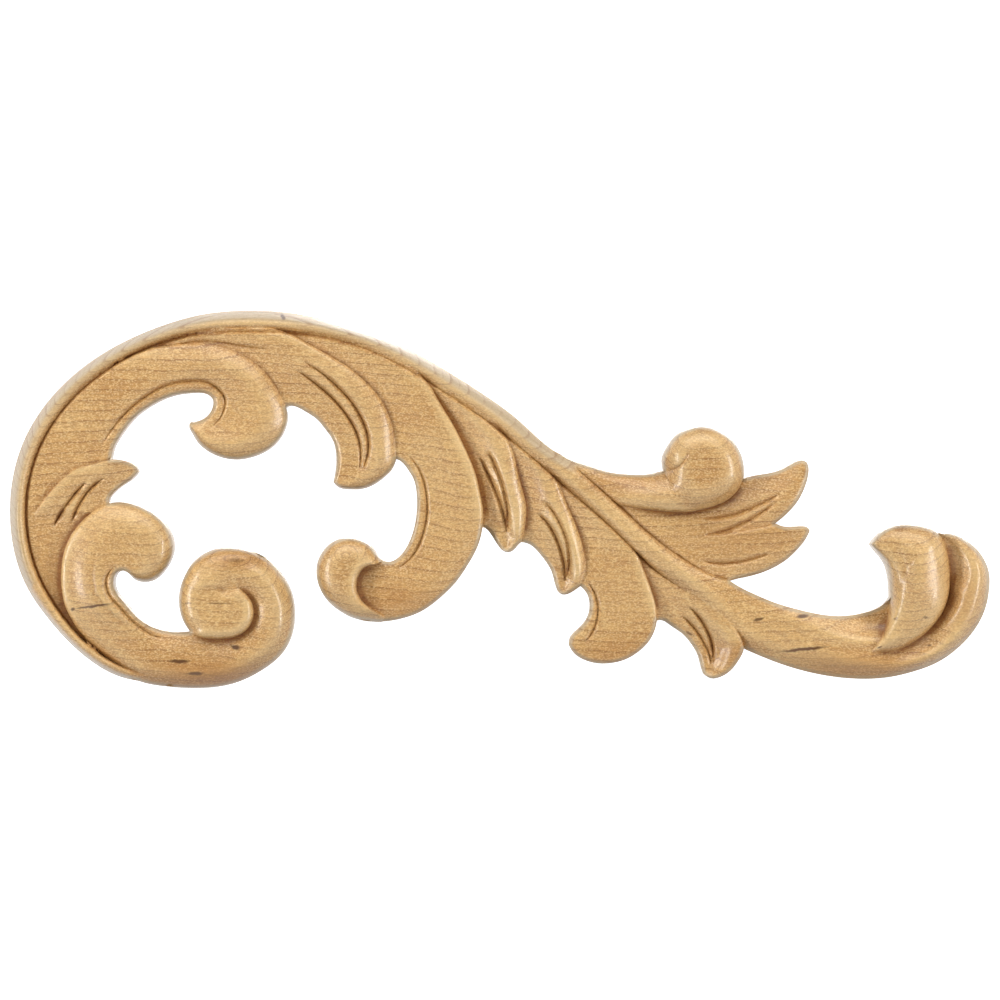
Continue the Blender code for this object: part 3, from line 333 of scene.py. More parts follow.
# %%
def rail():
    """The long rail: up the left side, over the top, down the stem and round the back of the end volute."""
    upper = [
        [(170, 681), (146, 681.5), (119, 676.5), (90, 660.5), (67, 640.5), (45, 615), (27.5, 589),
         (9.5, 512), (22.5, 443), (75.5, 373), (127, 340), (166, 324), (206, 313.5), (249, 310.2),
         (292, 312.8), (341.3, 324), (400, 345), (440.6, 367), (492, 400), (518.6, 420.3), (545, 444.3),
         (573, 464.6), (603, 491), (643, 527), (677, 554), (706, 572), (728.6, 580)],
        [(728.6, 580), (737, 585.5), (754, 594), (777, 603.4), (800, 610), (835, 616), (869, 611.5),
         (884, 604), (892, 592), (900, 570), (915, 548), (938.4, 533)],
    ]
    lower = [
        [(175, 688), (150, 677), (119, 664.5), (87, 643), (58, 610), (38, 574), (27.5, 533), (26.5, 508),
         (30.6, 476), (50.7, 428), (86, 387), (150, 347.5), (190, 335.8), (249, 332), (308, 335),
         (360, 347), (410, 371), (448, 394.5), (505, 435), (563, 485), (620, 536), (655, 570), (688, 593),
         (714, 622), (743, 648)],
        [(743, 648.5), (777, 662.5), (823, 675), (867, 678.8), (890, 677), (914, 671.4), (937.5, 662.4),
         (958.5, 647.5), (975, 629), (985.5, 608), (989.3, 588), (989.2, 574), (985, 561), (977, 549.6),
         (965, 539.6), (951, 533.4), (938.4, 533)],
    ]
    levels = {
        0.00: (7.5, 8.6, 9.6, 10, 10),
        0.06: (6.5, 9.6, 11.8, 12, 11.2),
        0.20: (6.5, 10.1, 12.6, 12.4, 10.3),
        0.55: (6.5, 10.3, 12.9, 12.6, 10.6),
        0.66: (10.5, 12.6, 13.3, 13.3, 12),
        0.70: (11.8, 12.9, 13.4, 13, 11),
        0.76: (11.5, 13, 13.6, 13, 10.4),
        0.80: (12, 12.8, 13, 12.6, 9.4),
        0.84: (11.8, 12.8, 13.2, 12.6, 8.8),
        0.885: (10.8, 12.2, 12.8, 12.6, 11.4, 10, 10.4, 12.2, 8),
        0.925: (7, 7, 7, 7, 7.4, 9.2, 12.6, 12.4, 8),
        0.96: (6.5, 6.5, 6.5, 6.5, 7.6, 10.6, 13.2, 12.4, 8),
        1.00: (9, 9.5, 10, 10.5, 9),
    }
    return Leaf("rail", upper, lower, levels, roll=0)


print("rail:", len(rail().outline), "samples round its outline")

# %% [markdown]
# ## The leaves of the big scroll
#
# The crest leaf fills the left side and curls down at the top. The veined leaf laps out from under it, and
# the hooked leaf ends in a ball. A small side leaf lies in the hollow on the left.

# %%
def crest_leaf():
    """The longest leaf: it rises inside the rail on the left and curls down at the top."""
    outer = [
        [(92, 650), (56, 612), (35, 575), (25, 533), (24, 508), (28, 475), (48, 426), (84, 384),
         (120, 361), (150, 348.5), (172, 345), (199, 343.5), (237, 352), (267, 373.7), (283, 400),
         (287.5, 416), (285, 429), (278.5, 440.4), (267.5, 450.3), (253, 456.8), (236.7, 459.6),
         (219.6, 456.8), (208.3, 451.3), (197.9, 442.2), (192, 432.6), (189.3, 425.6), (191, 422)],
    ]
    hollow = [
        [(92, 650), (78, 615), (80, 570), (98, 520), (107, 490), (112, 457), (114.2, 447.8),
         (119.4, 438.2), (129, 424.8), (139, 414.4), (150.8, 406.2), (164, 399.2), (177, 395),
         (193.4, 393), (204.2, 393.4), (210, 396), (213.2, 400), (213.2, 406.2), (210.6, 412.4),
         (206, 417.4), (197.7, 421.2), (191, 422)],
    ]
    levels = {
        0.00: (9.2, 9, 8.8, 8.6, 8.5),
        0.20: (11, 10.4, 9.8, 9.4, 9.2),
        0.40: (11.8, 11.8, 11.6, 11.2, 10.8),
        0.60: (12.4, 13.2, 13, 12.4, 11.8),
        0.78: (11.8, 14.8, 14.2, 13.2, 12),
        1.00: (11.6, 14, 13.6, 12.8, 12),
    }
    return Leaf("crest", outer, hollow, levels)


def veined_leaf():
    """The blunt leaf under the top, with two long veins."""
    outer = [
        [(150, 345), (180, 337), (205, 331), (245, 327.5), (280, 330), (297, 337.5)],
        [(297, 337.5), (308.3, 343.6), (327.4, 354.4), (349, 367.6), (364.4, 380.4), (378.4, 395.7),
         (387.3, 411), (393, 427.6), (395, 440.3), (396, 452), (396, 459), (391.2, 470.6)],
        [(391.2, 470.6), (376, 483.4), (363, 488.8), (349, 489.5), (338, 487), (333.4, 482)],
    ]
    hollow = [
        [(150, 345), (205, 362), (250, 384), (270, 400), (286, 408)],
        [(286, 408), (289, 406), (295.5, 406.6), (305.7, 411.8), (317, 419.4), (325.5, 429.4),
         (333, 440.6), (336, 453), (336, 467), (333.4, 482)],
    ]
    levels = {
        0.0: (11.4, 11.4, 11.2, 11, 10.8),
        0.15: (12.4, 12.2, 11.5, 11, 10.5),
        0.33: (13, 12.9, 11.8, 11, 10.2),
        0.6: (12.6, 14, 12.8, 11.5, 11),
        0.85: (11.4, 14, 13.2, 12.5, 11.2),
        1.0: (10.5, 12, 12, 11.5, 10.5),
    }
    return Leaf("veined", outer, hollow, levels)


def ball_leaf():
    """The large hooked leaf that ends in a ball."""
    outer = [
        [(262, 327), (300, 330), (340, 337), (380, 351), (410, 366), (428, 383), (439, 401),
         (453.4, 424.9), (465.3, 448.6), (475.2, 472.3), (481, 496), (483.6, 513.9), (482.6, 527),
         (478.2, 545.2), (468, 564.6), (456, 582), (439.2, 598.6), (422, 611), (402, 618.5),
         (380.4, 621.7), (357, 619), (341.5, 612), (328.6, 601.6), (320.1, 588.6), (316.6, 574.1),
         (317.6, 562)],
    ]
    hollow = [
        [(262, 327), (312, 368), (360, 412), (384, 440), (396, 459)],
        [(396, 459), (400.4, 461), (407.6, 469), (413.9, 480), (416.6, 492.7), (417, 506.5),
         (414.4, 526.6), (407.6, 545.3), (399, 556.8), (389.3, 561.6), (382, 559.8), (376.5, 553),
         (369.4, 544), (360.3, 539.3), (347.2, 537.4), (334, 541.2), (323.4, 550.6), (317.6, 562)],
    ]
    levels = {
        0.0: (11.5, 11.3, 11, 10.8, 10.6),
        0.3: (13, 12.8, 11.8, 10.8, 10.2),
        0.5: (13.8, 14, 12.8, 11.8, 11.5),
        0.7: (12, 13.2, 12.5, 11.5, 11),
        0.84: (11, 11.5, 11.2, 11, 10.5),
        1.0: (11, 11, 11, 11, 10.5),
    }
    return Leaf("ball_leaf", outer, hollow, levels)


def leaf_ball():
    """The ball of the hooked leaf, with a crisp lap over the leaf."""
    rim = [(386, 616), (384, 620.8), (370, 620.9), (357, 619), (341.5, 612), (328.6, 601.6),
           (320.1, 588.6), (316.6, 574.1), (317.6, 562), (323.4, 550.6), (334, 541.2), (347.2, 537.4),
           (360.3, 539.3), (369.4, 544), (376.5, 553), (384, 561.5)]
    lap = [(376, 564.6), (366, 567), (361, 571.8), (357.4, 580.5), (357.6, 591), (362, 600), (373, 609.5),
           (386, 616)]
    return Dome("leaf_ball", rim, lap, top=15.6, edge=9, widths=(22, 6), fade=0.3)


def side_leaflet():
    """The small pointed leaf in the hollow on the left."""
    top = [
        [(30, 540), (32, 521.6), (45.9, 497.7), (57.4, 484.3), (68.9, 473.8), (79.4, 467.5), (95, 463.5),
         (112, 459.5), (122.4, 460.2), (131, 462.7), (136.8, 467), (138.7, 471.8)],
    ]
    underside = [
        [(30, 540), (62, 562), (90, 548), (110, 522), (112.4, 508), (109.2, 500.4), (112.9, 493.8),
         (124.4, 484.3), (133.9, 477.6), (138.7, 471.8)],
    ]
    levels = {
        0.0: (9, 9, 9, 9, 9),
        0.25: (12.2, 11.6, 10, 8.6, 8),
        0.5: (13, 12.8, 11.6, 10, 8.8),
        0.8: (13.4, 13.4, 12.8, 12, 11.2),
        1.0: (11.5, 11.5, 11.5, 11.5, 11),
    }
    return Leaf("side_leaflet", top, underside, levels, roll=0.6)


print("four leaves and a ball in the big scroll")

# %% [markdown]
# ## The fronds under the stem
#
# Four fronds step down the underside of the stem, like tiles on a roof. Each one's hidden edge runs on under
# its neighbour, so no gap can open between them.

# %%
def first_frond():
    """The first of four fronds that step down the underside of the stem, each lapping the next."""
    outer = [
        [(415, 372), (462, 396), (492, 420), (511, 446), (520.5, 482.4), (526.3, 505), (526.3, 519),
         (522, 541.8)],
        [(522, 541.8), (519.5, 543.6), (514, 549.8), (507.3, 552.4), (501, 549.4)],
    ]
    hollow = [
        [(415, 372), (440, 420), (458, 455), (470, 495), (480.5, 527)],
        [(480.5, 527), (484, 527.6), (489.3, 532), (495.7, 542), (501, 549.4)],
    ]
    levels = {
        0.0: (12, 11.8, 11.5, 11, 10.5),
        0.5: (12, 13.1, 11.3, 10, 9.5),
        0.8: (11.4, 13.2, 11.4, 10, 9),
        1.0: (10.5, 10.5, 10, 10, 9.5),
    }
    return Leaf("first_frond", outer, hollow, levels, roll=0.8)


def second_frond():
    outer = [
        [(490, 414), (534, 450), (555, 476), (566, 502), (577, 527.6), (584.6, 554.7), (585.6, 567),
         (581, 585.6)],
        [(581, 585.6), (572.6, 591.6), (567, 594.3), (561.6, 594.4), (557.4, 591)],
    ]
    hollow = [
        [(490, 414), (500, 450), (511, 485), (517, 520), (520, 542)],
        [(520, 542), (529.3, 544.3), (537.3, 551), (545.8, 561.6), (552.2, 573.4), (555, 584.2),
         (557.4, 591)],
    ]
    levels = {
        0.0: (12, 11.8, 11.5, 11.2, 11),
        0.5: (12, 13.1, 11.4, 10.2, 9.5),
        0.8: (11.4, 13.2, 11.4, 10, 9),
        1.0: (10.5, 10.5, 10, 10, 9.5),
    }
    return Leaf("second_frond", outer, hollow, levels, roll=0.8)


def broad_frond():
    outer = [
        [(550, 466), (604, 510), (630, 538), (640, 560), (649.3, 584.2), (656.3, 608.5), (656.6, 621),
         (648.8, 641), (637, 652.6), (624.1, 659.8), (611, 663), (595.6, 663), (582.5, 659.1),
         (573.2, 652.4), (568.6, 645)],
    ]
    hollow = [
        [(550, 466), (554, 510), (566, 545), (580, 586)],
        [(580, 586), (584.8, 590.6), (588.4, 597.2), (589.6, 605.9), (588.3, 614.4), (583.4, 623.2),
         (576, 630.6), (569.6, 638.4), (568.6, 645)],
    ]
    levels = {
        0.0: (12, 11.8, 11.5, 11.2, 11),
        0.35: (12.8, 12.4, 11.2, 10.2, 9.5),
        0.6: (13, 12.6, 12, 11.4, 10.8),
        1.0: (10.5, 11, 11, 10.8, 10.5),
    }
    return Leaf("broad_frond", outer, hollow, levels)


def last_frond():
    outer = [
        [(628, 538), (672, 568), (703, 594), (722, 613), (732, 623.8), (739.8, 636.5), (743.4, 647.5),
         (738.2, 660), (730.1, 670.5), (719.7, 677), (710.5, 678.3), (703.3, 674)],
    ]
    hollow = [
        [(628, 538), (634, 575), (643, 600), (656, 620.6)],
        [(656, 620.6), (661, 620.3), (671, 626), (681.9, 633.5), (691.9, 644.7), (698.1, 656),
         (700.7, 666.1), (703.3, 674)],
    ]
    levels = {
        0.0: (12, 11.8, 11.5, 11.2, 11),
        0.4: (12.2, 11.8, 11, 10.2, 9.5),
        0.75: (13.6, 13.2, 11, 10, 9),
        1.0: (11, 11.2, 10.2, 10, 9.5),
    }
    return Leaf("last_frond", outer, hollow, levels, roll=0.8)


print("four fronds under the stem")

# %% [markdown]
# ## The bud and its leaflets
#
# Above the stem a bud swells into the highest ball of the carving, with two torn leaflets below it.

# %%
def stem_bud():
    """The bud above the stem: a tapering body that swells into a ball."""
    top = [
        [(545, 446), (572.8, 460), (590.6, 466.2), (608.5, 471.6), (636.5, 474.2), (649.3, 473.6),
         (663, 470)],
        [(663, 470), (662, 458), (667.5, 446.2), (675.3, 435.8), (687.3, 428.7), (701.6, 425.6),
         (717.3, 429.3), (730.4, 438.3), (739.5, 451.5), (743.4, 464.4), (743.7, 478)],
    ]
    underside = [
        [(545, 446), (580, 480), (605, 500), (626, 506.7), (649, 510), (687.5, 512), (712, 507.5),
         (729.6, 498.5), (739, 488.5), (743.7, 478)],
    ]
    levels = {
        0.0: (10.5, 11.4, 11.8, 11.8, 11.6),
        0.35: (9.5, 11.6, 12.4, 12.4, 12),
        0.5: (9.5, 13.2, 14.6, 14.2, 12.8),
        0.64: (9.5, 14.6, 16, 15.6, 13.6),
        1.0: (11, 13, 14, 13, 12),
    }
    return Leaf("stem_bud", top, underside, levels)


def bud_ball():
    """The ball on the bud, the highest place of the carving."""
    rim = [(663, 470), (662, 458), (667.5, 446.2), (675.3, 435.8), (687.3, 428.7), (701.6, 425.6),
           (717.3, 429.3), (730.4, 438.3), (739.5, 451.5), (743.4, 464.4), (743.4, 478), (737.5, 489.5),
           (727, 499.5), (712, 507), (697, 510.5), (682, 511.5)]
    return Dome("bud_ball", rim, [], top=18, edge=10, widths=(24, 6), sink=3.2)


def upper_leaflet():
    top = [
        [(590, 482), (640, 490), (700, 488), (743.7, 478), (756.5, 475), (769, 473), (781, 469.5),
         (790, 464.8), (797.7, 460.8), (802.4, 460), (806.8, 462.4)],
    ]
    underside = [
        [(590, 482), (640, 530), (700, 548), (742, 538.5), (762, 530), (775.7, 523)],
        [(775.7, 523), (789.5, 511), (798, 500.5), (804, 489), (808.3, 474), (808.2, 466), (806.8, 462.4)],
    ]
    levels = {
        0.0: (11.4, 11.4, 11.4, 11.4, 11.4),
        0.3: (10.4, 10.8, 11.4, 11.6, 11.4),
        0.6: (9.2, 9.8, 10.8, 11.4, 11),
        0.8: (9.2, 10, 11, 11.4, 10.5),
        1.0: (9.5, 9.8, 10, 10, 9.5),
    }
    return Leaf("upper_leaflet", top, underside, levels, roll=0.7)


def lower_leaflet():
    top = [
        [(610, 502), (660, 520), (700, 532), (740, 531), (775.7, 523.5)],
        [(775.7, 523.5), (781.4, 525.9), (792.9, 526.5), (801.5, 525.9), (807.6, 527.2), (809.7, 530.9)],
    ]
    underside = [
        [(610, 502), (650, 542), (692, 571), (729, 581)],
        [(729, 581), (737.2, 578.8), (747, 576.8), (776.2, 566.3), (788, 558.5), (798.7, 548),
         (806.3, 538), (809.7, 530.9)],
    ]
    levels = {
        0.0: (11.6, 11.6, 11.6, 11.6, 11.6),
        0.5: (11.8, 11.6, 11.4, 11.4, 11),
        0.8: (11.6, 11.6, 11.4, 11, 9.8),
        1.0: (9.5, 10, 10, 10, 9.5),
    }
    return Leaf("lower_leaflet", top, underside, levels, roll=0.7)


print("a bud, its ball and two leaflets")

# %% [markdown]
# ## The volutes
#
# The end volute is the rail's curled end with a swollen lobe in front of it. The lower scroll is one broad
# band with a hooked ball at its left end and a snail volute at its right, wound round a raised eye.

# %%
def volute_lobe():
    """The swollen front lobe of the end volute, standing over the rail's curled end."""
    hollow = [
        [(865, 655), (876.4, 642), (883.3, 631.7), (887, 619), (889.4, 605), (889.4, 592), (888.2, 577),
         (882.3, 560), (875.4, 551.6), (869.6, 544)],
    ]
    outer = [
        [(865, 655), (893.6, 652.3), (912, 643.2), (933.8, 624.8), (947, 601.8), (950, 573), (947, 551),
         (938.4, 534), (921.2, 526), (907.4, 524.3), (893.3, 525.6), (880.5, 532.2), (869.6, 544)],
    ]
    levels = {
        0.0: (9.5, 10.5, 11.2, 11.2, 11, 10.5, 9.5),
        0.12: (10.5, 12.6, 13.2, 13.2, 12.6, 11.8, 10.8),
        0.25: (10, 13.2, 14, 14.6, 14.4, 13.4, 11.5),
        0.5: (10, 14.4, 16.2, 17, 16.2, 14.5, 11.3),
        0.75: (10, 14.4, 16.2, 17.2, 16.5, 14.7, 11.3),
        1.0: (10, 12.5, 13.2, 13.5, 13.4, 12.6, 11.5),
    }
    return Leaf("volute_lobe", hollow, outer, levels)


def lower_scroll():
    """The broad scroll along the bottom: a hooked ball on the left, a snail volute on the right."""
    outer = [
        [(129.6, 573), (133.5, 578.3), (143, 582), (153.3, 580.6), (163.6, 571.9), (171.4, 559),
         (174, 544.5), (169.4, 530), (160.9, 518.7), (147.9, 509.4), (133.5, 503.7), (119.3, 502),
         (106, 504.5), (91.2, 513), (78, 525.5), (65.5, 547.4), (61.2, 573), (64.5, 603.5), (73, 621.7),
         (87, 641.4), (112, 664), (135, 679.5), (165, 686.4), (200, 688.2), (235.3, 683), (262.8, 669.8),
         (281.4, 654.3), (291.2, 636.7), (294.6, 614.6), (291.4, 592.6), (283.4, 576.6), (269.4, 560.4),
         (248.6, 550), (229.6, 547.2), (213, 549.7), (197.4, 558.4), (186.4, 573), (183, 582)],
    ]
    hollow = [
        [(129.6, 573), (124.8, 570.6), (119.8, 571.4), (115.5, 577), (116, 589.2), (124, 600.6),
         (137.4, 616), (152.5, 626.2), (172, 631.4), (190.6, 631.6)],
        [(190.6, 631.6), (212, 630), (230, 624), (240, 612), (240, 600), (233, 592), (222, 588),
         (205, 588), (192, 590), (183, 582)],
    ]
    levels = {
        0.0: (10, 14, 16, 16, 15.5),
        0.08: (11, 15, 16.2, 16, 15),
        0.15: (11.8, 15.4, 16, 15.2, 13.8),
        0.25: (12.8, 14.6, 15, 14, 12.5),
        0.37: (12.2, 13, 13.2, 12.5, 11),
        0.45: (9.5, 12.4, 13, 12.6, 11.4),
        0.55: (9.5, 13, 13.2, 12.5, 11.8),
        0.66: (9, 13.4, 13.4, 12, 11.6),
        0.74: (9.5, 13.6, 14.2, 13, 12.4),
        0.8: (9.5, 14.2, 15.4, 15.4, 15),
        0.88: (9.5, 14, 16, 16.5, 16.5),
        1.0: (9.5, 12, 13, 14, 14),
    }
    return Leaf("lower_scroll", outer, hollow, levels)


def scroll_ball():
    """The hooked ball at the left end of the lower scroll."""
    rim = [(106, 504.5), (119.3, 502), (133.5, 503.7), (147.9, 509.4), (160.9, 518.7), (169.4, 530),
           (174, 544.5), (171.4, 559), (163.6, 571.9), (153.3, 580.6), (143, 582), (133.5, 578.3),
           (129.6, 573)]
    return Dome("scroll_ball", rim, [], top=16.4, edge=9.5, widths=(26, 6), sink=2.0)


def volute_eye():
    """The raised eye of the snail volute. Its spiral edge starts as a hairline at the top."""
    rim = [(269.4, 560.4), (248.6, 550), (229.6, 547.2), (213, 549.7), (197.4, 558.4), (186.4, 573),
           (179.8, 590.6), (179.3, 606.2), (183.2, 620.5), (190.6, 632)]
    lap = [(200, 636.6), (213, 638.8), (226, 638.6), (238, 636), (246.5, 630.5), (252.2, 622.5),
           (254.6, 613), (253, 603), (247, 594), (238, 586.5), (225.8, 582)]
    return Dome("volute_eye", rim, lap, top=16, edge=9.5, widths=(19, 9), fade=0.3, sink=3.0)


print("two volutes and a hooked ball")

# %% [markdown]
# ## Who lies over whom, and the gouge cuts
#
# Forms in one family melt into each other, as a ball does into its leaf. Between families there is a step.

# %%
def leaves():
    """The carving in families: the members of one family run smoothly into each other."""
    return [
        [rail()],
        [crest_leaf()],
        [veined_leaf()],
        [ball_leaf(), leaf_ball()],
        [first_frond()],
        [second_frond()],
        [broad_frond()],
        [last_frond()],
        [stem_bud(), bud_ball()],
        [upper_leaflet()],
        [lower_leaflet()],
        [volute_lobe()],
        [side_leaflet()],
        [lower_scroll(), scroll_ball(), volute_eye()],
    ]


def cuts():
    rail_cut = [(150, 675.5), (119, 664.3), (87, 643), (58, 610), (38, 574), (27.5, 533), (26.5, 508),
                (30.6, 476), (50.7, 428), (86, 387), (150, 347.5), (190, 335.8), (249, 332), (308, 335),
                (360, 347), (410, 371), (448, 394.5), (505, 435), (563, 485), (620, 536), (655, 570),
                (690, 594)]
    stem_cut = [(566, 459), (586.7, 477.7), (611, 498.8), (643, 528.5), (677, 555), (706, 573.5),
                (724, 581)]
    curl = [(662, 472.5), (671, 470.5), (679, 466), (685, 459), (688, 451)]
    fold = [(178, 344.5), (200, 341.5), (222, 343), (245, 347), (272, 350)]
    beads = [
        [(102, 447), (108, 436.4), (124.4, 415.4), (150, 394.3), (166.3, 385.7), (182.5, 381.9),
         (196.6, 381.3), (209.6, 383.5), (219.4, 390), (225, 398), (225.4, 406.3), (217.2, 422.5),
         (210.7, 429)],
        [(408.4, 455.5), (416, 464.4), (422.4, 477.2), (427, 500), (425.6, 524.4), (421.2, 539.7),
         (413.5, 555), (405.9, 562.7), (396, 569)],
        [(587.4, 582.3), (593.2, 590.6), (597.4, 604), (596.4, 621.2), (591.9, 632.7), (584.2, 643)],
        [(119.3, 565), (112.2, 569.8), (108, 576.8), (107.3, 586.6), (110.8, 596.5), (119.3, 606.3),
         (129, 617.5), (140.3, 627.3), (151.5, 634.3), (164, 639)],
    ]
    veins = [
        [(303, 361), (321, 372.7), (338.9, 388), (351.6, 402), (361.8, 418.6), (367.6, 434),
         (368.9, 446.7), (363, 471)],
        [(296.8, 370), (321, 388), (333.8, 399.5), (346.5, 414.8), (355.5, 430), (360, 444), (360, 471)],
        [(479.4, 457.6), (488, 474.8), (497.6, 495.8), (504.3, 516.9), (507, 533)],
        [(488, 450.9), (495.7, 467), (502.4, 484.4), (507, 505.4), (508, 530)],
        [(536.9, 513), (546.6, 522), (554.2, 534), (559.6, 547), (563.4, 560), (565, 582)],
        [(543.4, 500.5), (552, 510.2), (559.6, 523.2), (565, 535.2), (568.8, 549.3), (569.4, 563.4),
         (566.5, 578)],
        [(681.2, 615.5), (692.7, 626.3), (701.6, 639), (708, 651.8), (711.3, 667)],
        [(688.8, 606.6), (699, 617.4), (706.7, 630.2), (711.8, 644.2), (713, 662)],
        [(87, 481.9), (76.5, 492.9), (67, 505.3), (59.3, 516.8), (53, 528)],
        [(105.2, 478.5), (93.8, 486.2), (84.2, 497.7), (76.5, 511), (71.7, 523)],
    ]
    hollows = [
        [(779, 494), (765, 502), (750, 508.5), (735, 514), (718, 517.5), (700, 518)],
        [(775, 503), (763, 511.5), (751, 519), (738, 525.5), (724, 531), (704, 535)],
        [(770, 553), (754, 558.5), (738, 562), (720, 563.5), (700, 561)],
    ]
    return (
        [Cut(rail_cut, RAIL_CUT_WIDTH, RAIL_CUT_DEPTH, ends=0.06)]
        + [Cut(line, FINE_WIDTH, FINE_DEPTH) for line in (stem_cut, curl, fold)]
        + [Cut(line, BEAD_WIDTH, BEAD_DEPTH) for line in beads]
        + [Cut(line, VEIN_WIDTH, VEIN_DEPTH) for line in veins]
        + [Cut(line, HOLLOW_WIDTH, HOLLOW_DEPTH) for line in hollows]
    )


print(len(leaves()), "families of forms,", len(cuts()), "gouge cuts")

# %% [markdown]
# ## Reading the front
#
# For each point: every family says how high it stands there, the highest wins, and the deepest cut is taken
# off.

# %%
def soft_max(a, b, blend):
    """The higher of two heights, with a small hollow fillet where they cross."""
    return np.maximum(a, b) + np.maximum(blend - np.abs(a - b), 0) ** 2 / (4 * blend)


class Carving:
    """The whole front: the highest family shows at each place, less the deepest cut there."""

    def __init__(self):
        self.families = leaves()
        self.forms = [form for family in self.families for form in family]
        self.cuts = cuts()

    def read(self, points, least):
        """Height of the front and which family shows. A form counts from `least` inside its outline, and
        the leaf that carries a boss also just outside its own, so that the two meet without a slit."""
        top = np.full(len(points), NOWHERE)
        owner = np.full(len(points), -1)
        for number, family in enumerate(self.families):
            height = np.full(len(points), NOWHERE)
            reached = [reach_inside(points, form.outline, max(abs(least), WALL_RUN)) for form in family]
            shows = np.zeros(len(points), bool)
            for near, depth in reached:
                shows[near[depth >= least]] = True
            for form, (near, depth) in zip(family, reached):
                limit = least if isinstance(form, Dome) else min(least, -WALL_RUN)
                counts = shows[near] & (depth >= limit)
                near, depth = near[counts], np.maximum(depth[counts], 0)
                if len(near) == 0:
                    continue
                found = form.height(points[near], depth)
                both = height[near] > 0
                height[near] = np.where(both, soft_max(found, height[near], BALL_FILLET), found)
            higher = height > top
            top[higher] = height[higher]
            owner[higher] = number
        here = np.nonzero(owner >= 0)[0]
        deepest = np.zeros(len(here))
        for cut in self.cuts:
            deepest = np.maximum(deepest, cut.depth_at(points[here]))
        top[here] -= deepest
        return top, owner

    def covers(self, points):
        result = np.zeros(len(points), bool)
        for form in self.forms:
            left = np.nonzero(~result)[0]
            result[left] = inside(points[left], form.outline)
        return result


carving = Carving()
middle_height, _ = carving.read(on_sheet([(SHEET_MIDDLE, SHEET_MIDDLE)]), 0)
print("height at the middle of the sheet:", round(float(middle_height[0]) * 1000, 1), "mm")

# %% [markdown]
# ## From heights to a net
#
# A plain grid would leave every edge jagged. A constrained Delaunay net lets the triangles follow the
# outlines, the feet of the steps and the bottoms of the cuts, with an even field between them. The field is
# fine, about 0.6 mm, so that the balls are round and the veins crisp.

# %%
STEP_LOOK = 0.0005
STEP_LEAST = 0.0003
LINE_SPACING = 0.0009
FIELD_SPACING = 0.00062
SMALLEST_LOOP = 8 * EDGE_ROLL  # smaller loops in the silhouette are slips between forms
BRINK = 0.3 * EDGE_ROLL  # points this near the rim count the forms that end just beside them


def triangulated(points, lines, keep):
    """A net over the points and lines, and those of its triangles whose middles `keep` takes."""
    edges = [(a, b) for line in lines for a, b in zip(line[:-1], line[1:])]
    net = delaunay_2d_cdt([Vector(p) for p in points], edges, [], 0, MERGE)
    flat = np.array([tuple(v) for v in net[0]])
    faces = np.array(net[2])
    middles = flat[faces].mean(1)
    a, b, c = flat[faces[:, 0]], flat[faces[:, 1]], flat[faces[:, 2]]
    area = (b[:, 0] - a[:, 0]) * (c[:, 1] - a[:, 1]) - (b[:, 1] - a[:, 1]) * (c[:, 0] - a[:, 0])
    faces[area < 0] = faces[area < 0][:, ::-1]
    faces = faces[(np.abs(area) > 1e-12) & keep(middles)]
    return flat, faces


def rim_loops(flat, faces):
    """The closed loops of edges that only one triangle uses, with the surface on their left. Where two
    loops touch at a point, each turns back along its own side."""
    sides = {(f[i], f[(i + 1) % 3]) for f in faces.tolist() for i in range(3)}
    after = {}
    for a, b in sorted(sides):
        if (b, a) not in sides:
            after.setdefault(a, []).append(b)
    loops = []
    while after:
        start = here = min(after)
        loop = []
        while not loop or here != start:
            choices = after[here]
            if loop and len(choices) > 1:
                back = math.atan2(*(flat[loop[-1]] - flat[here])[::-1])
                turns = [(back - math.atan2(*(flat[k] - flat[here])[::-1])) % math.tau for k in choices]
                pick = int(np.argmin(turns))
            else:
                pick = 0
            loop.append(here)
            ahead = choices.pop(pick)
            if not choices:
                del after[here]
            here = ahead
        loops.append(loop)
    return loops


def silhouettes(carving):
    """The outer outline of all the forms together, as closed lines."""
    points, lines = [], []
    for form in carving.forms:
        first = len(points)
        count = len(form.outline)
        points.extend(form.outline)
        lines.append([first + i % count for i in range(count + 1)])
    flat, faces = triangulated(points, lines, carving.covers)
    loops = [flat[loop] for loop in rim_loops(flat, faces)]
    return [loop for loop in loops if np.linalg.norm(np.ptp(loop, axis=0)) > SMALLEST_LOOP]


rims = [spaced(np.vstack([loop, loop[:1]]), LINE_SPACING)[:-1] for loop in silhouettes(carving)]
print("outer outline:", len(rims), "loop,", sum(map(len, rims)), "samples")

# %%
def runs(flags, closed):
    """Stretches of neighbouring samples that are flagged, as lists of their numbers."""
    count = len(flags)
    if flags.all():
        return [list(range(count)) + ([0] if closed else [])]
    start = int(np.argmin(flags)) if closed else 0
    found, run = [], []
    for i in range(count):
        k = (start + i) % count
        if flags[k]:
            run.append(k)
        elif run:
            found.append(run)
            run = []
    return found + ([run] if run else [])


def offset_line(line, outline, distance):
    """A line moved to the inside of an outline, less the samples that come too near another part of it."""
    side = squarely(np.gradient(line, axis=0))
    if not inside(line + side * MERGE * 3, outline).mean() > 0.5:
        side = -side
    moved = line + side * distance
    _, depth = reach_inside(moved, outline, 1.0)
    return [moved[run] for run in runs(depth > 0.96 * distance, False) if len(run) > 1]


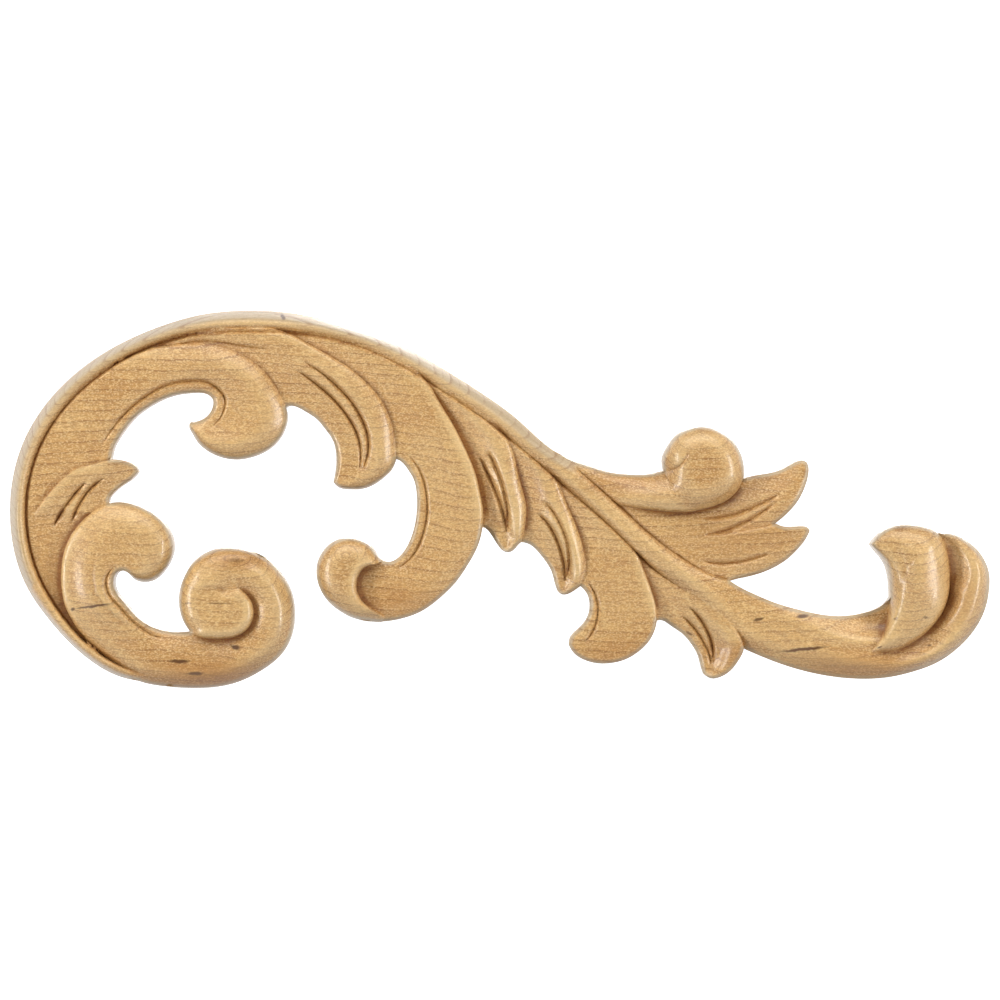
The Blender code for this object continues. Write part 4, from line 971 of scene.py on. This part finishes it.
def step_lines(carving, spacing):
    """Where one leaf stands over another: the foot of each step, and the rows behind its arris."""
    found = []
    for number, family in enumerate(carving.families):
        for form in family:
            closed = np.vstack([form.outline, form.outline[:1]])
            line = spaced(closed, spacing)[:-1]
            side = squarely(np.roll(line, -1, 0) - np.roll(line, 1, 0))
            if inside(line + side * MERGE * 3, form.outline).mean() < 0.5:
                side = -side
            high, owner = carving.read(line + side * STEP_LOOK, 0)
            low, _ = carving.read(line - side * STEP_LOOK / 2, 0)
            shows = (owner == number) & (low > 0) & (high - low > STEP_LEAST)
            for run in runs(shows, True):
                if len(run) < 3:
                    continue
                foot = line[run]
                found.append(foot)
                found.extend(offset_line(foot, form.outline, WALL_RUN))
                found.extend(offset_line(foot, form.outline, EDGE_ROLL))
    return found


def cut_lines(carving, spacing):
    """The bottom of each cut and its two shoulders."""
    found = []
    for cut in carving.cuts:
        line = spaced(cut.line, spacing)
        side = squarely(np.gradient(line, axis=0)) * cut.width / 2
        found.extend([line, line + side, line - side])
    return found


def thinned(lines, spacing, taken):
    """The lines without the samples that crowd those already taken. Earlier lines have the first right."""
    kept = []
    cells = {}
    for p in taken:
        cells.setdefault(tuple((p // spacing).astype(int)), []).append(p)
    for line in lines:
        free = np.ones(len(line), bool)
        for i, p in enumerate(line):
            column, row = (p // spacing).astype(int)
            around = [
                q
                for dc in (-1, 0, 1)
                for dr in (-1, 0, 1)
                for q in cells.get((column + dc, row + dr), ())
            ]
            free[i] = all(np.hypot(*(p - q)) >= spacing for q in around)
        for run in runs(free, False):
            kept.append(line[run])
        for p in line[free]:
            cells.setdefault(tuple((p // spacing).astype(int)), []).append(p)
    return kept


steps = step_lines(carving, LINE_SPACING)
grooves = cut_lines(carving, LINE_SPACING)
print(len(steps), "step lines and", len(grooves), "cut lines")

# %%
def inside_any(points, outlines):
    return np.array([inside(points, outline) for outline in outlines]).any(0)


def behind(rims, distance):
    """Rows just inside the silhouette, where its arris is rounded."""
    rows = []
    for rim in rims:
        moved = rim + squarely(np.roll(rim, -1, 0) - np.roll(rim, 1, 0)) * distance
        _, depth = reach_inside(moved, rim, 1.0)
        rows.extend(moved[run] for run in runs(depth > 0.9 * distance, True))
    return rows


def even_field(rims, placed, spacing):
    """Points in rows like a honeycomb, clear of the points already placed."""
    low, high = np.vstack(rims).min(0), np.vstack(rims).max(0)
    rows = []
    for i, z in enumerate(np.arange(low[1], high[1], spacing * math.sqrt(0.75))):
        x = np.arange(low[0] + (i % 2) * spacing / 2, high[0], spacing)
        rows.append(np.stack([x, np.full(len(x), z)], 1))
    field = np.vstack(rows)
    field = field[inside_any(field, rims)]
    tree = kdtree.KDTree(len(placed))
    for number, p in enumerate(placed):
        tree.insert((p[0], p[1], 0), number)
    tree.balance()
    gap = np.array([tree.find((x, z, 0))[2] for x, z in field])
    return field[gap > spacing * 0.62]


def within(middles):
    return inside_any(middles, rims)


arris = behind(rims, 0.15 * EDGE_ROLL) + behind(rims, 0.4 * EDGE_ROLL)
lines = thinned(steps + grooves + arris, WALL_RUN * 0.6, np.vstack(rims))
points, chains = [], []
for rim in rims:
    first = len(points)
    points.extend(rim)
    chains.append([first + i % len(rim) for i in range(len(rim) + 1)])
for line in lines:
    for run in runs(within(line), False):
        first = len(points)
        points.extend(line[run])
        chains.append(list(range(first, len(points))))
points.extend(even_field(rims, np.array(points), FIELD_SPACING))
flat, faces = triangulated(points, chains, within)
print("front:", len(flat), "points,", len(faces), "triangles")

# %% [markdown]
# ## The closed piece
#
# The front is lifted to its heights, the sides go straight down to the flat back, and the back closes it.

# %%
def rim_heights(height, loops, reach):
    """The silhouette's heights, each the middle one of its neighbours', so that no single corner drops."""
    for loop in loops:
        around = [np.roll(height[loop], k) for k in range(-reach, reach + 1)]
        height[loop] = np.median(around, axis=0)


def from_loops(points):
    """Distance of each point from the outer outline."""
    closed = [np.vstack([flat[loop], flat[loop[:1]]]) for loop in loops]
    return np.min([nearest(points, line)[0] for line in closed], axis=0)


used = np.unique(faces)
number = np.full(len(flat), -1)
number[used] = np.arange(len(used))
flat, faces = flat[used], number[faces]
loops = rim_loops(flat, faces)
height, owner = carving.read(flat, WALL_RUN / 2)
from_rim = from_loops(flat)
brink = from_rim < BRINK
height[brink] = carving.read(flat[brink], -WALL_RUN)[0]
lost = height <= 0
height[lost] = carving.read(flat[lost], -4 * WALL_RUN)[0]
rim_heights(height, loops, 2)
front = np.stack([flat[:, 0], -height, flat[:, 1]], 1)
print("highest point", round(height.max() * 1000, 2), "mm, lowest", round(height.min() * 1000, 2), "mm")
print(lost.sum(), "points of the rim filled in")

# %%
back_points = [i for loop in loops for i in loop]
place = {i: len(front) + k for k, i in enumerate(back_points)}
back = np.stack([flat[back_points, 0], np.zeros(len(back_points)), flat[back_points, 1]], 1)
sides = [(b, a, place[a], place[b]) for loop in loops for a, b in zip(loop, loop[1:] + loop[:1])]
chains, first = [], 0
for loop in loops:
    chains.append([first + i % len(loop) for i in range(len(loop) + 1)])
    first += len(loop)
_, back_faces = triangulated(flat[back_points], chains, within)
mesh = bpy.data.meshes.new("carved_scroll")
all_faces = faces.tolist() + sides + (back_faces[:, ::-1] + len(front)).tolist()
mesh.from_pydata(np.vstack([front, back]).tolist(), [], all_faces)
mesh.polygons.foreach_set("use_smooth", [True] * len(mesh.polygons))
mesh.set_sharp_from_angle(angle=math.radians(50))
mesh.update()
scroll = bpy.data.objects.new("carved_scroll", mesh)
bpy.context.scene.collection.objects.link(scroll)
print("carved scroll:", sum(len(p.vertices) - 2 for p in mesh.polygons), "triangles")

# %% [markdown]
# ## Where shade and highlight are painted
#
# The hollows get painted shade and the ridges a painted highlight. Comparing each point's height
# with the average of its surroundings tells hollows from ridges. The answer is kept on the mesh as an
# attribute.

# %%
SHADE_ROUNDS = 24  # how often the heights are averaged with their neighbours
SHADE_DEPTH = 0.0006  # how far below its surroundings a full hollow lies
SHADE_CLEAR = 0.004  # the attribute fades in over this distance from the rim


def averaged(values, edges, rounds):
    count = np.bincount(edges.ravel(), minlength=len(values))
    for _ in range(rounds):
        total = np.bincount(edges[:, 0], values[edges[:, 1]], len(values))
        total += np.bincount(edges[:, 1], values[edges[:, 0]], len(values))
        values = 0.5 * values + 0.5 * total / np.maximum(count, 1)
    return values


edges = np.empty(len(mesh.edges) * 2, int)
mesh.edges.foreach_get("vertices", edges)
edges = edges.reshape(-1, 2)
edges = edges[(edges < len(front)).all(1)]
below = averaged(height, edges, SHADE_ROUNDS) - height
# Painted shade goes where this attribute is above zero, a painted highlight where it is below.
hollow = np.zeros(len(mesh.vertices))
hollow[: len(front)] = np.clip(averaged(below, edges, 2) / SHADE_DEPTH, -1, 1)
hollow[: len(front)] *= np.clip(from_rim / SHADE_CLEAR - 0.2, 0, 1)
mesh.attributes.new("hollow", "FLOAT", "POINT").data.foreach_set("value", hollow)
print("share of the front in hollows:", round(float((hollow[: len(front)] > 0.3).mean()), 2))

# %% [markdown]
# The outside of the rail's upper left part has a wide band along the outline, and the rest of the outline a
# narrow one. Both are painted pale, as painted light: the overhead light and a painted reflection of the
# white surroundings on these steep bevels.

# %%
WIDE_BEVEL = 0.0040
NARROW_BEVEL = 0.0013
stem_start = on_sheet([(585, 0)])[0][0]
foot_row = on_sheet([(0, 585)])[0][1]
wide = (owner == 0) & (flat[:, 0] < stem_start) & (flat[:, 1] > foot_row)
# The band that is painted pale: wide on the upper left of the rail, narrow elsewhere.
bevel_width = averaged(np.where(wide, WIDE_BEVEL, NARROW_BEVEL), edges, 6)
bevel = np.ones(len(mesh.vertices))
bevel[: len(front)] = np.clip((bevel_width - from_rim) / (0.4 * bevel_width), 0, 1)
mesh.attributes.new("bevel", "FLOAT", "POINT").data.foreach_set("value", bevel)
print("share of the front in bevels:", round(float((bevel[: len(front)] > 0.5).mean()), 2))

# %% [markdown]
# ## Maple
#
# Maple is a pale, close wood. Its year rings are thin darker lines, and it is full of short fine flecks. The
# board's rings lie as sheets through the block, tilted back from the front. So the pattern is made in three
# dimensions on Object coordinates: on a flat field the sheets show as level lines, and on a ball as ovals.
# A picture laid on the front would smear down every slope.

# %%
maple = bpy.data.materials.new("satin_maple")
maple.use_nodes = True
tree = maple.node_tree
shader = tree.nodes["Principled BSDF"]


def add(kind, settings=(), **inputs):
    """One node. Settings are its own options, inputs are values or the sockets that feed it."""
    node = tree.nodes.new(kind)
    for name, value in dict(settings).items():
        setattr(node, name, value)
    for name, value in inputs.items():
        key = int(name[1:]) if name[0] == "_" else name.replace("_", " ")
        if isinstance(value, bpy.types.NodeSocket):
            tree.links.new(value, node.inputs[key])
        else:
            node.inputs[key].default_value = value
    return node


def sum_of(a, b, by="ADD"):
    return add("ShaderNodeMath", {"operation": by}, _0=a, _1=b).outputs[0]


def noise(place, scale, detail=2.0, roughness=0.5):
    node = add("ShaderNodeTexNoise", Vector=place, Scale=scale, Detail=detail, Roughness=roughness)
    return node.outputs["Fac"]


def ramp(value, *stops):
    """A curve from 0 to 1 through a few stops."""
    node = add("ShaderNodeValToRGB", Fac=value)
    marks = node.color_ramp.elements
    while len(marks) < len(stops):
        marks.new(0.5)
    for mark, (place, level) in zip(marks, stops):
        mark.position = place
        mark.color = (level, level, level, 1)
    return node.outputs["Color"]


def blend(mode, factor, a, b):
    node = add("ShaderNodeMix", {"data_type": "RGBA", "blend_type": mode, "clamp_factor": True})
    for key, value in ((0, factor), (6, a), (7, b)):
        if isinstance(value, bpy.types.NodeSocket):
            tree.links.new(value, node.inputs[key])
        else:
            node.inputs[key].default_value = value
    return node.outputs[2]


position = add("ShaderNodeTexCoord").outputs["Object"]
print("material started with", len(tree.nodes), "nodes")

# %% [markdown]
# ### Ovals
#
# Knots and dark marks are both ovals on the sheet. One node group says how far inside an oval a point is, and
# is used again for each of them.

# %%
def oval_group():
    group = bpy.data.node_groups.new("oval", "ShaderNodeTree")
    face = group.interface
    for name in ("Position", "Centre", "Size"):
        face.new_socket(name=name, in_out="INPUT", socket_type="NodeSocketVector")
    for name in ("Turn", "Core"):
        face.new_socket(name=name, in_out="INPUT", socket_type="NodeSocketFloat")
    face.new_socket(name="Mark", in_out="OUTPUT", socket_type="NodeSocketFloat")
    nodes, link = group.nodes, group.links.new
    start, end = nodes.new("NodeGroupInput"), nodes.new("NodeGroupOutput")
    shift, turn, shrink, reach = (
        nodes.new("ShaderNodeVectorMath"),
        nodes.new("ShaderNodeVectorRotate"),
        nodes.new("ShaderNodeVectorMath"),
        nodes.new("ShaderNodeVectorMath"),
    )
    shift.operation, shrink.operation, reach.operation = "SUBTRACT", "DIVIDE", "LENGTH"
    turn.rotation_type = "Y_AXIS"
    soft = nodes.new("ShaderNodeMapRange")
    soft.interpolation_type = "SMOOTHSTEP"
    for name, value in (("From Min", 1.0), ("To Min", 0.0), ("To Max", 1.0)):
        soft.inputs[name].default_value = value
    link(start.outputs["Position"], shift.inputs[0])
    link(start.outputs["Centre"], shift.inputs[1])
    link(shift.outputs[0], turn.inputs["Vector"])
    link(start.outputs["Turn"], turn.inputs["Angle"])
    link(turn.outputs[0], shrink.inputs[0])
    link(start.outputs["Size"], shrink.inputs[1])
    link(shrink.outputs[0], reach.inputs[0])
    link(reach.outputs["Value"], soft.inputs["Value"])
    link(start.outputs["Core"], soft.inputs["From Max"])
    link(soft.outputs[0], end.inputs["Mark"])
    return group


def oval(place, column, row, long, wide, rise, core):
    """How far inside an oval on the sheet: 0 at its edge, 1 from its core inwards."""
    x, z = on_sheet([(column, row)])[0]
    node = add("ShaderNodeGroup", {"node_tree": ovals})
    tree.links.new(place, node.inputs["Position"])
    node.inputs["Centre"].default_value = (x, 0, z)
    node.inputs["Size"].default_value = (long * SQUARE, 1, wide * SQUARE)
    node.inputs["Turn"].default_value = math.radians(rise)
    node.inputs["Core"].default_value = core
    return node.outputs["Mark"]


ovals = oval_group()
print("oval group has", len(ovals.nodes), "nodes")

# %% [markdown]
# ### Year rings
#
# RING_FACING points square to the sheets of growth. The distance along it, bent a little by slow noise,
# divided by the width of one year, gives the year. Its fraction climbs through each year and ends in a thin
# dark line. Round a knot the sheets bulge, and show as ovals.

# %%
RING_WIDTH = 0.0026
RING_FACING = (-0.02, -0.60, 0.80)
RING_STOPS = (
    *((0.0, 0.2), (0.05, 0.0), (0.40, 0.05), (0.46, 0.5)),
    *((0.52, 0.05), (0.82, 0.3), (0.91, 1.0), (0.97, 1.0)),
)
# column, row, half length and half width in squares, rings
KNOTS = ((346, 557, 24, 17, 2.4), (234, 560, 36, 15, 1.6))
wander = sum_of(sum_of(noise(position, 13, 1), 0.5, "SUBTRACT"), 0.010, "MULTIPLY")
ripple = sum_of(sum_of(noise(position, 160, 2), 0.5, "SUBTRACT"), 0.0008, "MULTIPLY")
along = add("ShaderNodeVectorMath", {"operation": "DOT_PRODUCT"}, _0=position, _1=RING_FACING)
bent = sum_of(sum_of(along.outputs["Value"], wander), ripple)
near_knot = 0.0
for column, row, long, wide, rings in KNOTS:
    knot = oval(position, column, row, long, wide, 0, 0.0)
    bent = sum_of(bent, sum_of(knot, rings * RING_WIDTH, "MULTIPLY"))
    near_knot = sum_of(near_knot, ramp(knot, (0.0, 0.0), (0.15, 1.0)), "MAXIMUM")
year = sum_of(bent, RING_WIDTH, "DIVIDE")
season = add("ShaderNodeMath", {"operation": "FRACT"}, _0=year).outputs[0]
ring = ramp(season, *RING_STOPS)
faint = ramp(noise(position, 50, 2), (0.34, 0.35), (0.6, 1.0))
ring = sum_of(ring, sum_of(faint, near_knot, "MAXIMUM"), "MULTIPLY")
print("rings", RING_WIDTH * 1000, "mm apart")

# %% [markdown]
# ### Flecks and fibres
#
# The fibres run along the length, so their noise is squeezed across it.

# %%
def stretched(size):
    return add("ShaderNodeMapping", Vector=position, Scale=size).outputs[0]


fibre = noise(stretched((520, 1700, 1700)), 1.0, 2, 0.6)
speck = noise(stretched((1500, 2600, 2600)), 1.0, 1, 0.5)
fleck = ramp(noise(stretched((380, 2400, 2400)), 1.0, 1, 0.5), (0.58, 0.0), (0.66, 1.0))
cloud = noise(position, 30, 2, 0.5)
patch = noise(stretched((16, 75, 75)), 1.0, 2, 0.5)
PALE = (0.67, 0.41, 0.155, 1)
TAN = (0.54, 0.285, 0.088, 1)
OCHRE = (0.30, 0.135, 0.04, 1)
CREAM = (0.80, 0.57, 0.27, 1)
BEVEL_LIGHT = (0.44, 0.35, 0.225, 1)
wood = blend("MIX", ramp(patch, (0.38, 0.0), (0.66, 1.0)), PALE, TAN)
wood = blend("MIX", sum_of(ramp(cloud, (0.35, 0.0), (0.7, 1.0)), 0.4, "MULTIPLY"), wood, TAN)
wood = blend("MIX", sum_of(ring, 0.95, "MULTIPLY"), wood, OCHRE)
wood = blend("MIX", sum_of(ramp(fibre, (0.42, 0.0), (0.64, 1.0)), 0.46, "MULTIPLY"), wood, OCHRE)
wood = blend("MIX", sum_of(ramp(speck, (0.48, 0.0), (0.64, 1.0)), 0.66, "MULTIPLY"), wood, CREAM)
wood = blend("MIX", sum_of(fleck, 0.30, "MULTIPLY"), wood, OCHRE)
print("colour mixed from", PALE[:3], TAN[:3], OCHRE[:3])

# %% [markdown]
# ### Painted shade and painted highlights
#
# The two attributes kept on the mesh come in here: hollows get painted shade, ridges a painted highlight,
# and the bevels painted light, with the rings running over it.

# %%
# Painted shade: hollows are multiplied towards a brown tone. Painted highlight: ridges are mixed towards
# cream.
HOLLOW_SHADE_TINT = (0.45, 0.28, 0.12, 1)
BEVEL_LIGHT_RING = (0.68, 0.46, 0.25, 1)
hollow_measure = add("ShaderNodeAttribute", {"attribute_name": "hollow"}).outputs["Fac"]
deep = ramp(hollow_measure, (0.25, 0.0), (0.65, 0.35), (1.0, 0.9))
painted_ridge_highlight = ramp(sum_of(hollow_measure, -1.0, "MULTIPLY"), (0.08, 0.0), (0.8, 1.0))
wood = blend("MULTIPLY", deep, wood, HOLLOW_SHADE_TINT)
wood = blend("MIX", sum_of(painted_ridge_highlight, 0.5, "MULTIPLY"), wood, CREAM)
bevel_light_mask = add("ShaderNodeAttribute", {"attribute_name": "bevel"}).outputs["Fac"]
# Painted light: the bevels are mixed towards a pale tone for the overhead light and the reflected white
# surroundings, and the wood's rings darken over them.
wood = blend("MIX", sum_of(bevel_light_mask, 0.75, "MULTIPLY"), wood, BEVEL_LIGHT)
wood = blend("MULTIPLY", sum_of(sum_of(bevel_light_mask, ring, "MULTIPLY"), 0.6, "MULTIPLY"), wood, BEVEL_LIGHT_RING)
print("hollows darker, ridges and bevels paler")

# %% [markdown]
# ### Browner clouds
#
# Along the lower edge and in a few other places the colour turns browner in wide soft clouds, which are
# large ovals with no hard core.

# %%
# column, row, half length and half width in squares, rise in degrees, strength
BROWN_CLOUDS = (
    (215, 678, 120, 32, 0, 0.9),
    (236, 560, 52, 17, 0, 0.7),
    (400, 600, 80, 34, 0, 0.45),
    (740, 530, 95, 50, 0, 0.4),
    (620, 660, 80, 40, 0, 0.45),
    (850, 668, 140, 28, 0, 0.7),
    (735, 655, 60, 26, 0, 0.5),
    (225, 545, 45, 24, 0, 0.4),
    (620, 485, 60, 20, 0, 0.35),
    (965, 600, 30, 50, 0, 0.4),
    (40, 585, 30, 90, 0, 0.15),
)
BROWN_CLOUD_TINT = (0.64, 0.44, 0.19, 1)
warm = 0.0
for column, row, long, wide, rise, strength in BROWN_CLOUDS:
    cloud_here = oval(position, column, row, long, wide, rise, 0.0)
    warm = sum_of(warm, sum_of(cloud_here, strength, "MULTIPLY"), "MAXIMUM")
wood = blend("MULTIPLY", warm, wood, BROWN_CLOUD_TINT)
print(len(BROWN_CLOUDS), "clouds of heartwood")

# %% [markdown]
# ### Marks in the wood
#
# Short dark mineral streaks and one thin crack belong to this board. Each is the same oval group again, long,
# thin and with a ragged edge.

# %%
# column, row, half length and half width in squares, rise in degrees, strength
STREAKS = (
    (180, 661, 14, 2.4, 0, 1.0),
    (196, 673, 11, 2.4, 2, 1.0),
    (236, 647, 6, 3.0, -10, 1.0),
    (758, 619, 7, 2.2, 12, 0.9),
    (802, 616, 8, 2.8, 10, 1.0),
    (803, 649, 31, 2.1, 6, 1.0),
    (689, 633, 5, 1.8, -30, 0.8),
    (879, 647, 4, 1.5, 20, 0.8),
    (929, 645, 3, 1.5, 10, 0.8),
    (924, 617, 3, 1.8, 0, 0.6),
    (895, 618, 3, 1.6, 30, 0.6),
    (189, 603, 5, 1.6, 0, 0.6),
    (220, 603, 18, 1.2, 0, 0.6),
    (74, 609, 3, 2.6, 0, 0.95),
    (94, 606, 24, 1.7, 8, 1.0),
    (283, 317, 5, 2.6, -60, 1.0),
    (236, 560, 9, 2.6, 0, 0.45),
    (243, 560, 3, 1.4, 0, 0.6),
)
STAIN = (0.085, 0.026, 0.0, 1)
ragged = add("ShaderNodeTexNoise", Vector=position, Scale=520.0, Detail=1.0).outputs["Color"]
jitter = add("ShaderNodeVectorMath", {"operation": "SUBTRACT"}, _0=ragged, _1=(0.5, 0.5, 0.5)).outputs[0]
jitter = add("ShaderNodeVectorMath", {"operation": "SCALE"}, _0=jitter, Scale=0.0007).outputs[0]
ragged_position = add("ShaderNodeVectorMath", _0=position, _1=jitter).outputs[0]
stain = 0.0
for column, row, long, wide, rise, strength in STREAKS:
    mark = oval(ragged_position, column, row, long, wide, rise, 0.4)
    stain = sum_of(stain, sum_of(mark, strength, "MULTIPLY"), "MAXIMUM")
wood = blend("MIX", stain, wood, STAIN)
print(len(STREAKS), "marks in the wood")

# %% [markdown]
# ### Satin lacquer
#
# The lacquer is thin: the fibres still show through it as a fine unevenness. A coat gives the soft lights on
# the slopes.

# %%
tree.links.new(wood, shader.inputs["Base Color"])
gloss = add("ShaderNodeMapRange", Value=fibre, _1=0.3, _2=0.7, _3=0.34, _4=0.5).outputs[0]
tree.links.new(gloss, shader.inputs["Roughness"])
shader.inputs["Specular IOR Level"].default_value = 0.7
shader.inputs["Specular Tint"].default_value = (1.0, 0.82, 0.6, 1)
shader.inputs["Coat Weight"].default_value = 0.65
shader.inputs["Coat Roughness"].default_value = 0.24
grain_height = sum_of(sum_of(fibre, 0.6, "MULTIPLY"), sum_of(fleck, -0.25, "MULTIPLY"))
grain_height = sum_of(grain_height, sum_of(noise(position, 700, 2), 0.5, "MULTIPLY"))
bump = add("ShaderNodeBump", Strength=0.5, Distance=0.00035, Height=grain_height)
tree.links.new(bump.outputs[0], shader.inputs["Normal"])
mesh.materials.append(maple)
print("maple has", len(tree.nodes), "nodes")

# %% [markdown]
# ## Handing the piece to the frame
#
# The carved scroll stands in for the plain solid, which stays behind it for collision.

# %%
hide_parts("acanthus_scroll")
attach(scroll, "root")
print("carved scroll rides on root")

# %% [markdown]
# ## Camera
#
# The camera looks straight at the front from far away, so a long lens is used. The frame is 1000 squares
# wide.

# %%
CAMERA_AWAY = 2.2
SHARPEST_PLANE = 0.008
camera_data = bpy.data.cameras.new("camera")
camera_data.sensor_width = 36.0
camera_data.lens = 36.0 * (CAMERA_AWAY - SHARPEST_PLANE) / (1000 * SQUARE)
camera_data.clip_start, camera_data.clip_end = 0.05, 20
camera = bpy.data.objects.new("camera", camera_data)
camera.location = (0, -CAMERA_AWAY, 0)
camera.rotation_euler = (math.radians(90), 0, 0)
bpy.context.scene.collection.objects.link(camera)
bpy.context.scene.camera = camera
print("lens", round(camera_data.lens), "mm")

# %% [markdown]
# ## A white cove
#
# The floor sweeps up into a wall all round, as in a product studio, and shines evenly white, so the piece can
# be looked at from the back as well. It is hidden from the piece's own light, so it doesn't wash out the
# shading, and the lacquer doesn't mirror the half of the wall that is behind the camera.

# %%
COVE_RADIUS = 3.2
FLOOR_DEPTH = -2.4
SWEEP = 0.8
FLOOR_TOP = -0.37
WALL_TOP = 6.0
white = bpy.data.materials.new("white_paper")
white.use_nodes = True
paper = white.node_tree.nodes["Principled BSDF"]
paper.inputs["Base Color"].default_value = (0.9, 0.9, 0.9, 1)
paper.inputs["Emission Color"].default_value = (1, 1, 1, 1)
paper.inputs["Emission Strength"].default_value = 1.0


def turned(name, profile, start, end):
    """A sheet swept about the upright axis from radius and height pairs, between two angles in degrees."""
    steps = (end - start) // 5
    angles = np.radians(np.linspace(start, end, steps + 1))
    corners = [(r * math.cos(a), r * math.sin(a), z) for r, z in profile for a in angles]
    row = steps + 1
    quads = [
        (i * row + k, i * row + k + 1, (i + 1) * row + k + 1, (i + 1) * row + k)
        for i in range(len(profile) - 1)
        for k in range(steps)
    ]
    sheet = bpy.data.meshes.new(name)
    sheet.from_pydata(corners, [], [face[::-1] for face in quads])
    sheet.materials.append(white)
    turned_sheet = bpy.data.objects.new(name, sheet)
    bpy.context.scene.collection.objects.link(turned_sheet)
    turned_sheet.visible_diffuse = False
    return turned_sheet


sweep = [
    (COVE_RADIUS - SWEEP + SWEEP * math.sin(a), FLOOR_DEPTH + SWEEP - SWEEP * math.cos(a))
    for a in np.linspace(0, math.pi / 2, 10)
]
upright = [(COVE_RADIUS, FLOOR_TOP), (COVE_RADIUS, WALL_TOP)]
floor = turned("floor", [(0.01, FLOOR_DEPTH)] + sweep + upright[:1], 0, 360)
far_wall = turned("far_wall", upright, 0, 180)
near_wall = turned("near_wall", upright, 180, 360)
near_wall.visible_glossy = False
print("cove", sum(len(sheet.data.polygons) for sheet in (floor, far_wall, near_wall)), "faces")

# %% [markdown]
# ## Soft boxes
#
# A tall box on each side picks out the flanks of the leaves, a wide one overhead pales the upper bevel, and a
# weak one by the camera fills the rest. The one behind lights the flat back alone.

# %%
def soft_box(name, place, wide, tall, power):
    lamp = bpy.data.lights.new(name, "AREA")
    lamp.shape, lamp.size, lamp.size_y, lamp.energy = "RECTANGLE", wide, tall, power
    box = bpy.data.objects.new(name, lamp)
    box.location = place
    box.rotation_euler = (-Vector(place)).to_track_quat("-Z", "Y").to_euler()
    bpy.context.scene.collection.objects.link(box)
    return box


soft_box("left_box", (-1.05, -0.62, 0.05), 0.2, 1.0, 9.2)
soft_box("right_box", (1.05, -0.62, 0.05), 0.2, 1.0, 9.2)
soft_box("top_box", (0, -0.6, 1.1), 1.8, 0.9, 13.5)
soft_box("front_box", (-0.3, -1.9, 0.9), 0.8, 0.5, 2.4)
soft_box("back_box", (0.3, 1.9, 0.9), 1.2, 0.8, 16)
world = bpy.data.worlds.new("soft_room")
world.use_nodes = True
world.node_tree.nodes["Background"].inputs["Color"].default_value = (1, 1, 1, 1)
world.node_tree.nodes["Background"].inputs["Strength"].default_value = 0.17
bpy.context.scene.world = world
bpy.context.scene.view_settings.view_transform = "Standard"
print("five soft boxes")
